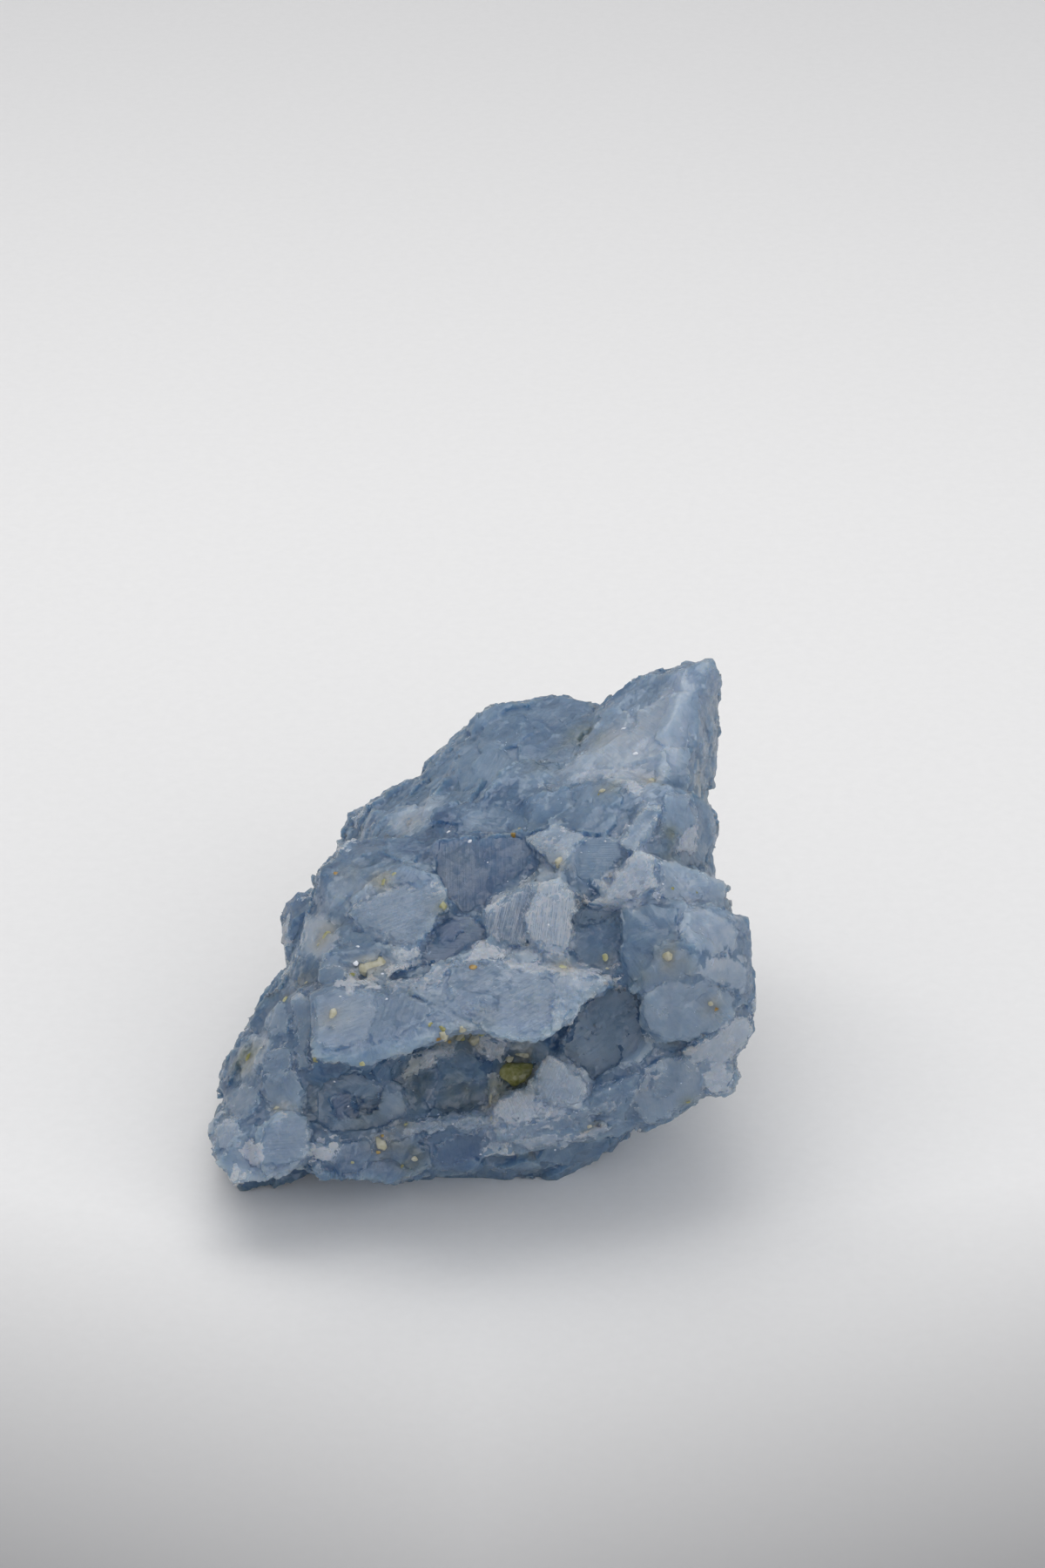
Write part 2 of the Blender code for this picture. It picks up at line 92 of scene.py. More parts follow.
# ---- grains: name, kind, tone, outline, thickness, narrowing ------------------
# kind: c = massive (split into its own smaller grains), f = one flat cleavage
# face, s = smooth broken faces, d = thin cleavage layers follow its shape
GRAINS = [
    ("core_low", "c", 0.30, [(330, 1150, 9), (360, 1140, 6), (500, 1140, 4), (700, 1135, 4), (840, 1085, 5),
        (850, 1180, 5), (800, 1245, 5), (700, 1285, 6), (560, 1312, 6), (375, 1330, 6), (300, 1315, 6),
        (278, 1260, 10)], 20, 0.74),
    ("core_mid", "c", 0.30, [(385, 1010, 13), (430, 968, 16), (520, 945, 15), (640, 925, 10), (740, 920, 7),
        (808, 950, 10), (822, 1020, 6), (838, 1080, 5), (700, 1135, 4), (500, 1135, 5), (365, 1130, 8)], 25, 0.86),
    ("core_back", "c", 0.30, [(440, 935, 29), (500, 888, 28), (560, 838, 27), (640, 818, 25), (700, 822, 21),
        (770, 812, 17), (812, 815, 19), (816, 900, 20), (640, 935, 13), (500, 965, 15)], 13, 0.92),
    ("pinnacle", "s", 0.62, [(690, 813, 20), (712, 792, 18), (745, 774, 16.5), (790, 761, 14.5), (815, 757, 15),
        (828, 778, 16.5), (825, 850, 18), (820, 905, 18), (786, 908, 7.5), (772, 830, 10), (640, 893, 13),
        (700, 908, 8.5)], 9, 0.9),
    ("pin_foot", "s", 0.66, [(622, 902, 12), (650, 884, 12.5), (700, 846, 13.2), (735, 832, 12), (762, 868, 8.6),
        (775, 903, 6.5), (735, 910, 7), (690, 914, 8)], 12, 0.95),
    ("hump_a", "c", 0.40, [(549, 820, 25), (575, 811, 24.5), (610, 805, 24), (654, 804, 23), (690, 812, 21),
        (700, 860, 15), (640, 893, 13), (590, 872, 16.5), (553, 852, 22)], 12, 0.92),
    ("hump_b", "c", 0.44, [(489, 876, 28), (523, 846, 27), (550, 822, 26), (585, 850, 20), (592, 900, 14.5),
        (540, 932, 13.5), (498, 922, 19)], 11, 0.92),
    ("hump_c", "c", 0.42, [(411, 946, 28), (428, 920, 28), (463, 900, 27.5), (500, 884, 26), (524, 930, 14.5),
        (484, 968, 12.5), (428, 968, 17)], 10, 0.9),
    ("hump_d", "s", 0.50, [(560, 905, 13), (600, 868, 15), (635, 885, 12), (640, 920, 9.5), (600, 945, 9.5),
        (555, 940, 11)], 8, 0.9),
    ("hump_e", "s", 0.46, [(500, 930, 14), (560, 915, 12.5), (600, 940, 9.5), (590, 962, 8.5), (520, 965, 10.5),
        (495, 955, 12.5)], 8, 0.9),
    ("spur", "c", 0.40, [(327, 1045, 27), (345, 1031, 27), (378, 1040, 21), (385, 1090, 18), (375, 1118, 18),
        (332, 1112, 24)], 10, 0.9),
    ("sh_left", "s", 0.38, [(636, 940, 7), (660, 908, 8), (690, 894, 8), (725, 894, 6.5), (744, 903, 4.5),
        (735, 930, 3), (722, 965, 1.8), (700, 968, 2), (662, 960, 3.2), (640, 952, 5)], 12, 0.95),
    ("sh_mid", "s", 0.48, [(742, 903, 4.5), (775, 904, 4.5), (792, 912, 5), (780, 955, 2.2), (765, 985, 1.2),
        (735, 979, 0.9), (755, 940, 1.6)], 12, 0.95),
    ("sh_right", "s", 0.46, [(775, 905, 5), (800, 917, 6), (819, 934, 7.5), (824, 950, 8.5), (820, 970, 8.5),
        (811, 985, 8.5), (806, 1000, 6.5), (765, 988, 1.6), (782, 950, 2.6)], 12, 0.92),
    ("sh_strip", "f", 0.72, [(744, 925, 1.2), (758, 932, 1.2), (750, 955, 0.7), (734, 978, 0.2), (709, 970, 0.6),
        (722, 955, 1), (732, 935, 1.4)], 3, 0.95),
    ("flake_f", "f", 0.92, [(732, 978, -1.2), (750, 985, -1.7), (746, 1004, -1.8), (753, 1012, -1.8),
        (733, 1031, -1.6), (706, 1036, -1), (691, 1035, -0.6), (709, 1008, -0.3)], 4, 0.95),
    ("slab_g", "f", 0.56, [(748, 985, -1), (800, 1000, 0), (828, 1013, 1.2), (834, 1019, 1.6), (834, 1028, 1.6),
        (821, 1040, 1.2), (785, 1038, -1), (742, 1036, -1.6), (745, 1005, -1.2)], 9, 0.9),
    ("facet_e", "f", 0.46, [(655, 985, 2.4), (662, 960, 3.2), (700, 961, 2.4), (728, 974, 1.4), (718, 986, 1.2),
        (700, 1001, 1.1), (683, 1011, 1.1), (668, 1012, 1.6), (655, 1000, 2.2)], 8, 0.95),
    ("facet_d", "f", 0.74, [(606, 964, 4.4), (625, 955, 4.8), (648, 945, 4.8), (672, 958, 3), (656, 975, 1.8),
        (646, 996, 1.2), (632, 985, 2.2), (616, 976, 3.4)], 6, 0.92),
    ("facet_d2", "f", 0.40, [(640, 1012, 3), (655, 990, 3), (690, 1008, 2.2), (712, 1030, 1.6), (690, 1046, 1.8),
        (660, 1036, 2.4)], 8, 0.95),
    ("facet_j", "f", 0.16, [(500, 966, 9.5), (600, 955, 8), (632, 990, 5), (578, 1020, 5), (552, 1046, 5.4),
        (505, 1040, 6.5), (478, 1000, 9.5)], 12, 0.95),
    ("fibre_i", "f", 0.88, [(618, 1013, 0.6), (645, 1010, 0.6), (660, 1024, 0.2), (656, 1060, -0.1),
        (652, 1086, -0.6), (640, 1097, -1), (624, 1090, -1), (606, 1076, -0.5), (609, 1042, 0.5)], 7, 0.95),
    ("fibre_i2", "f", 0.58, [(554, 1052, 2.8), (580, 1026, 2.8), (616, 1012, 1.6), (613, 1060, 0.6),
        (601, 1086, 0.2), (572, 1083, 0.6), (556, 1068, 1.8)], 8, 0.95),
    ("facet_h", "f", 0.30, [(655, 1072, 1.6), (690, 1055, 1.2), (714, 1038, 0.4), (716, 1080, -0.4),
        (716, 1124, -1.2), (690, 1112, -0.6), (660, 1098, 0.4)], 10, 0.95),
    ("facet_k", "f", 0.56, [(402, 1032, 7.2), (440, 1002, 7.4), (470, 996, 7.2), (504, 1006, 5.4), (515, 1030, 4.2),
        (499, 1052, 3.8), (476, 1091, 2.4), (440, 1086, 3), (406, 1060, 6)], 10, 0.95),
    ("facet_k0", "s", 0.42, [(368, 1000, 12), (398, 970, 14), (440, 962, 14), (500, 966, 10.5), (500, 1002, 8),
        (440, 1002, 8.4), (385, 1052, 8.4), (356, 1046, 12)], 14, 0.92),
    ("facet_k2", "s", 0.38, [(354, 1052, 11), (400, 1036, 8), (432, 1076, 4), (402, 1112, 3.4), (350, 1126, 6.6),
        (332, 1118, 10)], 12, 0.92),
    ("facet_l", "f", 0.14, [(430, 1078, 4.2), (478, 1096, 3.2), (498, 1054, 4.4), (546, 1050, 4), (562, 1078, 1.8),
        (520, 1104, 1.2), (490, 1124, 1.2), (440, 1118, 2.2)], 8, 0.95),
    ("ledge_n", "f", 0.70, [(470, 1138, -2), (500, 1106, 0), (545, 1090, 0), (600, 1100, -0.4), (672, 1115, -1.4),
        (668, 1150, -4.8), (652, 1174, -6.6), (632, 1191, -7.6), (600, 1198, -8),
        (565, 1189, -7.6), (530, 1172, -6.6), (500, 1154, -5)], 8, 0.8),
    ("ledge_n2", "s", 0.74, [(650, 1110, -1.2), (716, 1123, -1.8), (703, 1136, -3), (680, 1145, -4.2), (650, 1154, -5)], 6, 0.9),
    ("ledge_o", "s", 0.58, [(356, 1142, 0.4), (382, 1123, 0.8), (432, 1130, 0.2), (486, 1138, -2),
        (520, 1160, -4.6), (545, 1180, -6.4), (520, 1185, -6.4), (484, 1193, -6.2), (446, 1211, -6.2), (420, 1222, -6), (362, 1217, -5.2),
        (358, 1180, -3)], 9, 0.88),
    ("ledge_join", "s", 0.55, [(440, 1132, -1.2), (520, 1118, -1.0), (562, 1140, -4.6), (572, 1184, -7.2), (520, 1187, -6.6),
        (460, 1176, -5.0)], 7, 0.9),
    ("hump_f", "s", 0.42, [(596, 918, 10.5), (650, 905, 8.5), (660, 950, 4.5), (612, 958, 7.5)], 7, 0.9),
    ("bulge_a", "s", 0.26, [(712, 1038, -1), (785, 1038, -2), (765, 1080, -4), (722, 1140, -3.2), (716, 1120, -2.6),
        (713, 1075, -1.6)], 14, 0.95),
    ("bulge_b", "s", 0.60, [(783, 1037, -2), (822, 1042, -1.4), (838, 1052, -0.8), (856, 1055, 0.6),
        (858, 1080, 0.4), (800, 1086, -6), (762, 1078, -4.6)], 14, 0.88),
    ("bulge_c", "s", 0.44, [(762, 1080, -4.6), (800, 1086, -6.2), (858, 1080, 0.4), (864, 1113, 0.6),
        (867, 1143, 1.4), (850, 1152, -1), (790, 1132, -5), (722, 1140, -3.2)], 14, 0.88),
    ("bulge_d", "s", 0.50, [(741, 1142, -3.8), (790, 1130, -4.8), (848, 1152, -1.4), (836, 1178, -1.8),
        (780, 1193, -2.8), (756, 1193, -2.2), (738, 1172, -2.8)], 12, 0.9),
    ("bulge_e", "s", 0.54, [(867, 1143, 1.6), (865, 1180, 1.8), (857, 1203, 2.2), (822, 1223, 1), (786, 1213, 0),
        (800, 1196, -1.2), (838, 1175, -1.2)], 11, 0.86),
    ("bulge_f", "f", 0.62, [(807, 1223, 0), (840, 1220, 1), (848, 1235, 1.6), (844, 1246, 1.8), (835, 1256, 1.8),
        (815, 1257, 1.2), (805, 1243, 0.6)], 7, 0.9),
    ("bulge_g", "s", 0.42, [(745, 1205, 0), (786, 1213, 0), (806, 1236, 0.8), (811, 1253, 1.6), (797, 1266, 2.2),
        (770, 1282, 2.8), (745, 1292, 3.2), (712, 1299, 3.8), (725, 1260, 1.6), (735, 1225, 0.6)], 12, 0.9),
    ("wall_q", "f", 0.10, [(640, 1202, 3.2), (655, 1176, 3), (690, 1130, 2), (718, 1125, 1.2), (735, 1166, 0.8),
        (746, 1202, 1), (716, 1226, 1.6), (672, 1246, 2), (660, 1226, 2.6)], 12, 0.95),
    ("flake_w1", "f", 0.86, [(632, 1213, 0.8), (641, 1214, 0.8), (664, 1237, 0.4), (675, 1255, 0.4),
        (660, 1266, 0.4), (621, 1267, 0.4), (611, 1246, 0.8), (620, 1223, 0.9)], 4, 0.95),
    ("flake_w2", "f", 0.82, [(567, 1279, 1), (579, 1256, 1.1), (606, 1249, 1), (617, 1262, 0.8), (624, 1274, 0.5),
        (601, 1289, 0.4), (575, 1291, 0.7)], 4, 0.95),
    ("hollow", "c", 0.18, [(430, 1200, 5.6), (500, 1172, 6.4), (560, 1190, 6.4), (640, 1200, 4.4), (662, 1240, 3.2),
        (600, 1262, 3.4), (540, 1292, 3.6), (450, 1292, 3.6), (426, 1232, 4.4)], 12, 0.95),
    ("band_a", "d", 0.50, [(545, 1291, 1.6), (600, 1289, 0.6), (680, 1263, 0.2), (742, 1234, 0), (727, 1262, 1.2),
        (712, 1300, 3.4), (650, 1312, 2.8), (600, 1322, 3.2), (560, 1322, 3.2)], 10, 0.9),
    ("band_b", "d", 0.24, [(488, 1292, 2.4), (545, 1282, 1.8), (562, 1320, 2.8), (541, 1341, 4.2),
        (500, 1338, 3.8)], 8, 0.92),
    ("band_c", "d", 0.36, [(352, 1300, 3), (430, 1290, 3.2), (490, 1290, 2.8), (503, 1336, 3.4), (476, 1352, 3.4),
        (454, 1358, 3.2), (411, 1352, 2.8), (363, 1349, 2.4), (348, 1322, 2.2)], 10, 0.88),
    ("wall_t", "d", 0.14, [(348, 1232, 2.8), (430, 1226, 3.4), (462, 1270, 3.4), (442, 1296, 3.4), (358, 1302, 2.8),
        (344, 1270, 2.4)], 12, 0.95),
    ("flank_a", "s", 0.30, [(300, 1216, 4.4), (322, 1152, 6.6), (345, 1131, 5.4), (357, 1150, 3.4),
        (360, 1226, 2.4), (350, 1286, 1.8), (320, 1276, 1.8), (302, 1242, 3.4)], 12, 0.92),
    ("flank_b", "c", 0.40, [(254, 1242, 10), (268, 1208, 11), (289, 1178, 12), (310, 1148, 12), (326, 1118, 12),
        (347, 1131, 7.6), (326, 1160, 6.8), (303, 1216, 4.8), (305, 1260, 3.4), (270, 1276, 5.4),
        (254, 1262, 8.4)], 14, 0.85),
    ("flank_c", "s", 0.46, [(242, 1292, 6.6), (255, 1270, 7), (300, 1255, 3.6), (320, 1280, 1.8), (290, 1300, 1.2),
        (250, 1334, 1.8), (245, 1314, 3.4)], 9, 0.88),
    ("slab_x1", "f", 0.64, [(290, 1301, 0.4), (320, 1276, 0.8), (350, 1285, 1.2), (353, 1300, 1.2),
        (360, 1321, 1.4), (350, 1331, 0.6), (300, 1346, -0.4), (296, 1320, 0)], 7, 0.9),
    ("tip_x2", "f", 0.70, [(250, 1333, 1.8), (265, 1340, 0.9), (268, 1357, 0.8), (305, 1356, 0.2), (345, 1337, 0.5),
        (356, 1324, 1.2), (300, 1300, 0.8), (270, 1300, 1.4)], 7, 0.88),
    ("keel", "d", 0.36, [(520, 1330, 8), (560, 1341, 8.6), (600, 1342, 8.6), (650, 1335, 10), (694, 1319, 11.5),
        (702, 1296, 9.5), (600, 1296, 5), (520, 1305, 6)], 9, 0.9),
    # grains that close the joints between the larger ones
    ("fill_1", "d", 0.22, [(372, 1100, 3.4), (430, 1088, 3.0), (500, 1092, 2.2), (512, 1118, 0.6), (440, 1130, 0.8), (376, 1128, 1.6)], 7, 0.95),
    ("fill_2", "d", 0.36, [(566, 1074, 1.6), (606, 1082, 0.6), (650, 1092, 0.2), (662, 1112, -0.6), (610, 1106, -0.4), (560, 1096, 0.4)], 7, 0.95),
    ("fill_3", "f", 0.14, [(650, 1034, 2.2), (700, 1036, 1.2), (722, 1050, 0.6), (704, 1070, 0.9), (660, 1076, 1.4)], 7, 0.95),
    ("fill_4", "d", 0.40, [(736, 1180, -0.6), (800, 1180, -0.9), (806, 1222, 0.2), (770, 1234, 0.6), (736, 1216, 0.4)], 8, 0.95),
    ("fill_5", "d", 0.30, [(662, 1222, 1.0), (716, 1206, 0.6), (748, 1222, 0.4), (730, 1254, 0.8), (680, 1262, 0.8), (660, 1246, 1.0)], 8, 0.95),
    ("fill_6", "d", 0.26, [(362, 1204, 0.6), (420, 1206, 0.8), (470, 1190, 0.9), (470, 1222, 3.0), (420, 1240, 3.0), (360, 1236, 2.2)], 7, 0.95),
    ("fill_7", "d", 0.34, [(636, 996, 3.2), (668, 1006, 2.0), (664, 1030, 1.4), (640, 1020, 1.6), (612, 1012, 3.0)], 7, 0.95),
    ("fill_8", "d", 0.30, [(696, 1000, 1.6), (724, 984, 0.9), (740, 1020, 0.2), (704, 1036, 0.6), (684, 1016, 1.4)], 7, 0.95),
]

RINGS = [
    ("foot", [(-1.0, [(-17, 18), (-10, 15.6), (3, 16), (7.5, 22), (6.5, 35), (-3, 41.5), (-15, 40), (-20.5, 30)]),
              (8.0, [(-21.5, 15), (-8, 12), (8, 12), (15, 20), (14, 36), (-4, 45), (-18, 43), (-24, 28)])]),
    ("back_mass", [(7.0, [(-19, 24), (13, 20), (14.5, 36), (-3, 44), (-16, 41)]),
                   (15.0, [(-18, 28), (15, 22), (15.5, 38), (-2, 47), (-14.5, 43)]),
                   (21.5, [(-12, 30), (13, 25), (14, 38), (-2, 46), (-11, 43)]),
                   (29.0, [(1, 32), (11, 28), (12, 38), (1, 43)])]),
]

RHOMBS = [
    ("rear_a", (-10.8, 42.8, 12.0), (12, 8, 12), (14, 8, 6)),
    ("rear_b", (-1.0, 44.0, 11.5), (12, 8, 11), (-12, -10, 10)),
    ("rear_c", (8.2, 39.5, 14.0), (10, 9, 13), (-38, 6, -8)),
    ("rear_d", (-2.6, 43.5, 18.6), (11, 8, 10), (6, 12, -12)),
    ("rear_e", (5.2, 41.5, 21.0), (11, 8, 11), (-20, 4, 10)),
    ("rear_f", (9.0, 33.0, 23.5), (8, 9, 10), (-20, -6, 6)),
    ("rear_g", (1.5, 41.5, 6.0), (11, 7, 8), (-16, -14, 0)),
    ("rear_h", (-10.0, 39.5, 6.0), (10, 7, 8), (22, -12, 4)),
    ("right_a", (11.4, 24.0, 18.5), (8, 11, 10), (8, 8, -6)),
    ("right_b", (11.2, 17.5, 12.0), (8, 11, 9), (-14, -8, 8)),
    ("right_c", (10.4, 29.5, 10.0), (8, 11, 9), (-24, 12, 4)),
    ("right_d", (12.0, 17.0, 21.5), (6, 9, 8), (12, 0, -8)),
    ("left_a", (-17.6, 29.0, 8.0), (8, 11, 8), (-10, 8, 8)),
    ("left_b", (-13.8, 36.5, 11.5), (8, 10, 9), (18, -8, -6)),
    ("left_c", (-13.6, 30.0, 15.8), (7, 10, 8), (10, 10, 10)),
    ("under_a", (-19.6, 19.5, 4.8), (9, 9, 6), (18, 12, -6)),
    ("under_b", (7.6, 20.5, 8.0), (8, 8, 6), (-28, -10, 8)),
    ("under_c", (-3.0, 14.4, 6.4), (12, 6, 5), (8, 10, 0)),
    # two that only fill gaps between the grains inside
    ("inner_a", (5.0, 23.6, 27.8), (5, 5, 5), (0, 0, 0)),
    ("inner_b", (-13.2, 24.2, 20.8), (5, 5, 5), (0, 0, 0)),
    ("inner_c", (-19.0, 24.4, 8.6), (6, 5, 5), (0, 0, 0)),
    ("inner_d", (-5.8, 34.4, 25.2), (4, 4, 4), (0, 0, 0)),
]


# ---- number noise -------------------------------------------------------------
def hash01(*keys):
    """Repeatable value 0..1 from whole-number keys."""
    h = np.zeros(np.broadcast(*keys).shape, np.uint32) + np.uint32(0x9E3779B9)
    for k in keys:
        k = np.asarray(k).astype(np.int64).astype(np.uint32)
        h = (h ^ k) * np.uint32(0x85EBCA6B)
        h = h ^ (h >> np.uint32(13))
        h = h * np.uint32(0xC2B2AE35)
        h = h ^ (h >> np.uint32(16))
    return h.astype(np.float32) / np.float32(4294967295.0)


def smooth_noise(P, size, key):
    """Smooth 3-D value noise, -1..1."""
    q = P / size
    i = np.floor(q).astype(np.int32)
    f = (q - i).astype(np.float32)
    f = f * f * (3 - 2 * f)
    out = np.zeros(len(P), np.float32)
    for dx in (0, 1):
        wx = f[:, 0] if dx else 1 - f[:, 0]
        for dy in (0, 1):
            wy = f[:, 1] if dy else 1 - f[:, 1]
            for dz in (0, 1):
                wz = f[:, 2] if dz else 1 - f[:, 2]
                out += wx * wy * wz * hash01(i[:, 0] + dx, i[:, 1] + dy, i[:, 2] + dz, np.int32(key))
    return out * 2 - 1


def frame_of(n, spin):
    """Two in-plane directions at the cleavage angle for a face with normal n."""
    n = n / np.linalg.norm(n)
    a = np.cross(n, (0.0, 0.0, 1.0) if abs(n[2]) < 0.9 else (0.0, 1.0, 0.0))
    a /= np.linalg.norm(a)
    b = np.cross(n, a)
    u = a * math.cos(spin) + b * math.sin(spin)
    t = spin + math.radians(78.0)
    v = a * math.cos(t) + b * math.sin(t)
    return n, u, v


def ragged(q, u, v, layer, key, amp):
    """Rim offset of a cleavage layer: notches that follow two cleavage directions."""
    a = q @ u
    b = q @ v
    w = 0.22 * np.sin(b * 1.3 + layer * 2.1) + 0.2 * np.sin(a * 1.7 + layer * 1.3 + key)
    out = np.zeros(len(q), np.float32)
    for size, part in ((1.9, 0.42), (0.85, 0.30), (0.42, 0.17)):
        ia = np.floor((a + w) / size + layer * 0.37).astype(np.int32)
        ib = np.floor((b - w) / size * 0.8 + layer * 0.61).astype(np.int32)
        out += part * (hash01(ia, ib, layer.astype(np.int32), np.int32(key)) * 2 - 1)
    return out * amp


# ---- convex blocks --------------------------------------------------------------
def hull_planes(points):
    bm = bmesh.new()
    for p in points:
        bm.verts.new(p)
    bmesh.ops.convex_hull(bm, input=bm.verts)
    centre = np.mean(points, 0)
    seen, N, D = set(), [], []
    for f in bm.faces:
        if f.calc_area() < 1e-6:
            continue
        n = np.array(f.normal)
        d = float(n @ np.array(f.verts[0].co))
        if n @ centre > d:
            n, d = -n, -d
        tag = tuple(np.round(n, 3)) + (round(d, 2),)
        if tag not in seen:
            seen.add(tag)
            N.append(n)
            D.append(d)
    bm.free()
    return np.array(N, np.float32), np.array(D, np.float32)


def fit_plane(P):
    c = P.mean(0)
    _, _, vt = np.linalg.svd(P - c)
    n = vt[2]
    if n @ (EYE - c) < 0:
        n = -n
    return c, n


def grain_points(outline, thick, narrow, flat):
    front = np.array([lay(*o) for o in outline])
    if flat:
        # slide every rim point along its line of sight onto the best plane
        c, n = fit_plane(front)
        rays = front - EYE
        t = ((c - EYE) @ n) / (rays @ n)
        front = EYE + rays * t[:, None]
    col, row, dep = project(front)
    cc, cr = col.mean(), row.mean()
    back = np.array([lay(cc + (a - cc) * narrow, cr + (b - cr) * narrow, d + thick) for a, b, d in zip(col, row, dep)])
    c, n = fit_plane(front)
    return np.vstack([front, back]), n


def rhomb_points(centre, edges, angles):
    lean = math.cos(math.radians(75.0))
    shear = Matrix(((1.0, lean, lean * 0.6), (0.0, 1.0, lean), (0.0, 0.0, 1.0)))
    turn = Euler([math.radians(a) for a in (angles[1], angles[2], angles[0])], "XYZ").to_matrix()
    size = Matrix.Diagonal(edges)
    m = turn @ shear @ size
    pts = [np.array(m @ Vector((x, y, z))) for x in (-.5, .5) for y in (-.5, .5) for z in (-.5, .5)]
    faces = [turn @ shear.inverted().transposed() @ Vector(a) for a in ((1, 0, 0), (0, 1, 0), (0, 0, 1))]
    return np.array(pts) + np.array(centre) + SHIFT, [np.array(f.normalized()) for f in faces]


class Block:
    def __init__(self, name, kind, tone, points, normal, key):
        self.name, self.kind, self.tone, self.key = name, kind, tone, key
        self.N, self.D = hull_planes(points)
        self.lo, self.hi = points.min(0), points.max(0)
        self.n, self.u, self.v = frame_of(np.asarray(normal, float), key * 1.37)
        self.cap = np.abs(self.N @ self.n) > 0.86
        rng = random.Random(key)
        w = points @ self.n
        top = w.max()
        if kind == "f":
            top = float(self.D[self.cap & (self.N @ self.n > 0)].max()) if (self.cap & (self.N @ self.n > 0)).any() else top
        edges = [top]
        while edges[-1] > w.min() - 0.5:
            edges.append(edges[-1] - (rng.uniform(0.35, 0.8) if kind == "f" else rng.uniform(0.35, 0.8)))
        self.edges = np.array(edges[::-1], np.float32)

    def plain(self, p):
        return (p @ self.N.T - self.D).max(1)

    def layered(self, p, amp):
        w = p @ self.n.astype(np.float32)
        k = np.clip(np.searchsorted(self.edges, w) - 1, 0, len(self.edges) - 2)
        best = np.full(len(p), 9.0, np.float32)
        n32 = self.n.astype(np.float32)
        for dj in (-1, 0, 1):
            j = np.clip(k + dj, 0, len(self.edges) - 2)
            a, b = self.edges[j], self.edges[j + 1]
            c, half = (a + b) * 0.5, (b - a) * 0.5
            q = p + (c - w)[:, None] * n32
            dist = q @ self.N.T - self.D
            r = ragged(q, self.u.astype(np.float32), self.v.astype(np.float32), j.astype(np.float32), self.key, amp)
            dist[:, ~self.cap] += r[:, None]
            best = np.minimum(best, np.maximum(dist.max(1), np.abs(w - c) - half - 0.01))
        return best


class Field:
    def __init__(self, lo, hi, step):
        self.step = step
        self.lo = np.floor((lo - 1.2) / step) * step
        self.shape = tuple(int(v) for v in np.ceil((hi + 1.2 - self.lo) / step) + 1)
        self.F = np.full(self.shape, 4.0, np.float32)
        self.ID = np.zeros(self.shape, np.int16)

    def window(self, lo, hi):
        a = np.clip(np.floor((lo - self.lo) / self.step).astype(int), 0, np.array(self.shape) - 1)
        b = np.clip(np.ceil((hi - self.lo) / self.step).astype(int) + 1, 1, np.array(self.shape))
        return tuple(slice(int(i), int(j)) for i, j in zip(a, b))

    def points(self, win):
        ax = [(self.lo[i] + self.step * np.arange(win[i].start, win[i].stop)).astype(np.float32) for i in range(3)]
        g = np.meshgrid(*ax, indexing="ij")
        return np.stack([c.ravel() for c in g], 1)

    def sample(self, q, A=None):
        A = self.F if A is None else A
        g = (q - self.lo.astype(np.float32)) / np.float32(self.step)
        top = np.array(self.shape, np.float32) - 1.001
        g = np.clip(g, 0, top)
        i = g.astype(np.int32)
        f = g - i
        ny, nz = self.shape[1], self.shape[2]
        flat = (i[:, 0] * ny + i[:, 1]) * nz + i[:, 2]
        R = A.ravel()
        out = 0
        for dx in (0, 1):
            wx = f[:, 0] if dx else 1 - f[:, 0]
            for dy in (0, 1):
                wy = f[:, 1] if dy else 1 - f[:, 1]
                base = flat + (dx * ny + dy) * nz
                out = out + wx * wy * ((1 - f[:, 2]) * R[base] + f[:, 2] * R[base + 1])
        return out

    def put(self, win, value, ident, keep=None):
        """Union of a block's values (flat, over win) into the field."""
        sub, sid = self.F[win], self.ID[win]
        val = value.reshape(sub.shape)
        m = val < sub
        sub[m] = val[m]
        sid[m] = ident

    def carve(self, win, value, ident):
        """Removes where value < 0; the new surface takes the given identity."""
        sub, sid = self.F[win], self.ID[win]
        val = -value.reshape(sub.shape)
        m = val > sub
        sub[m] = val[m]
        sid[m] = ident


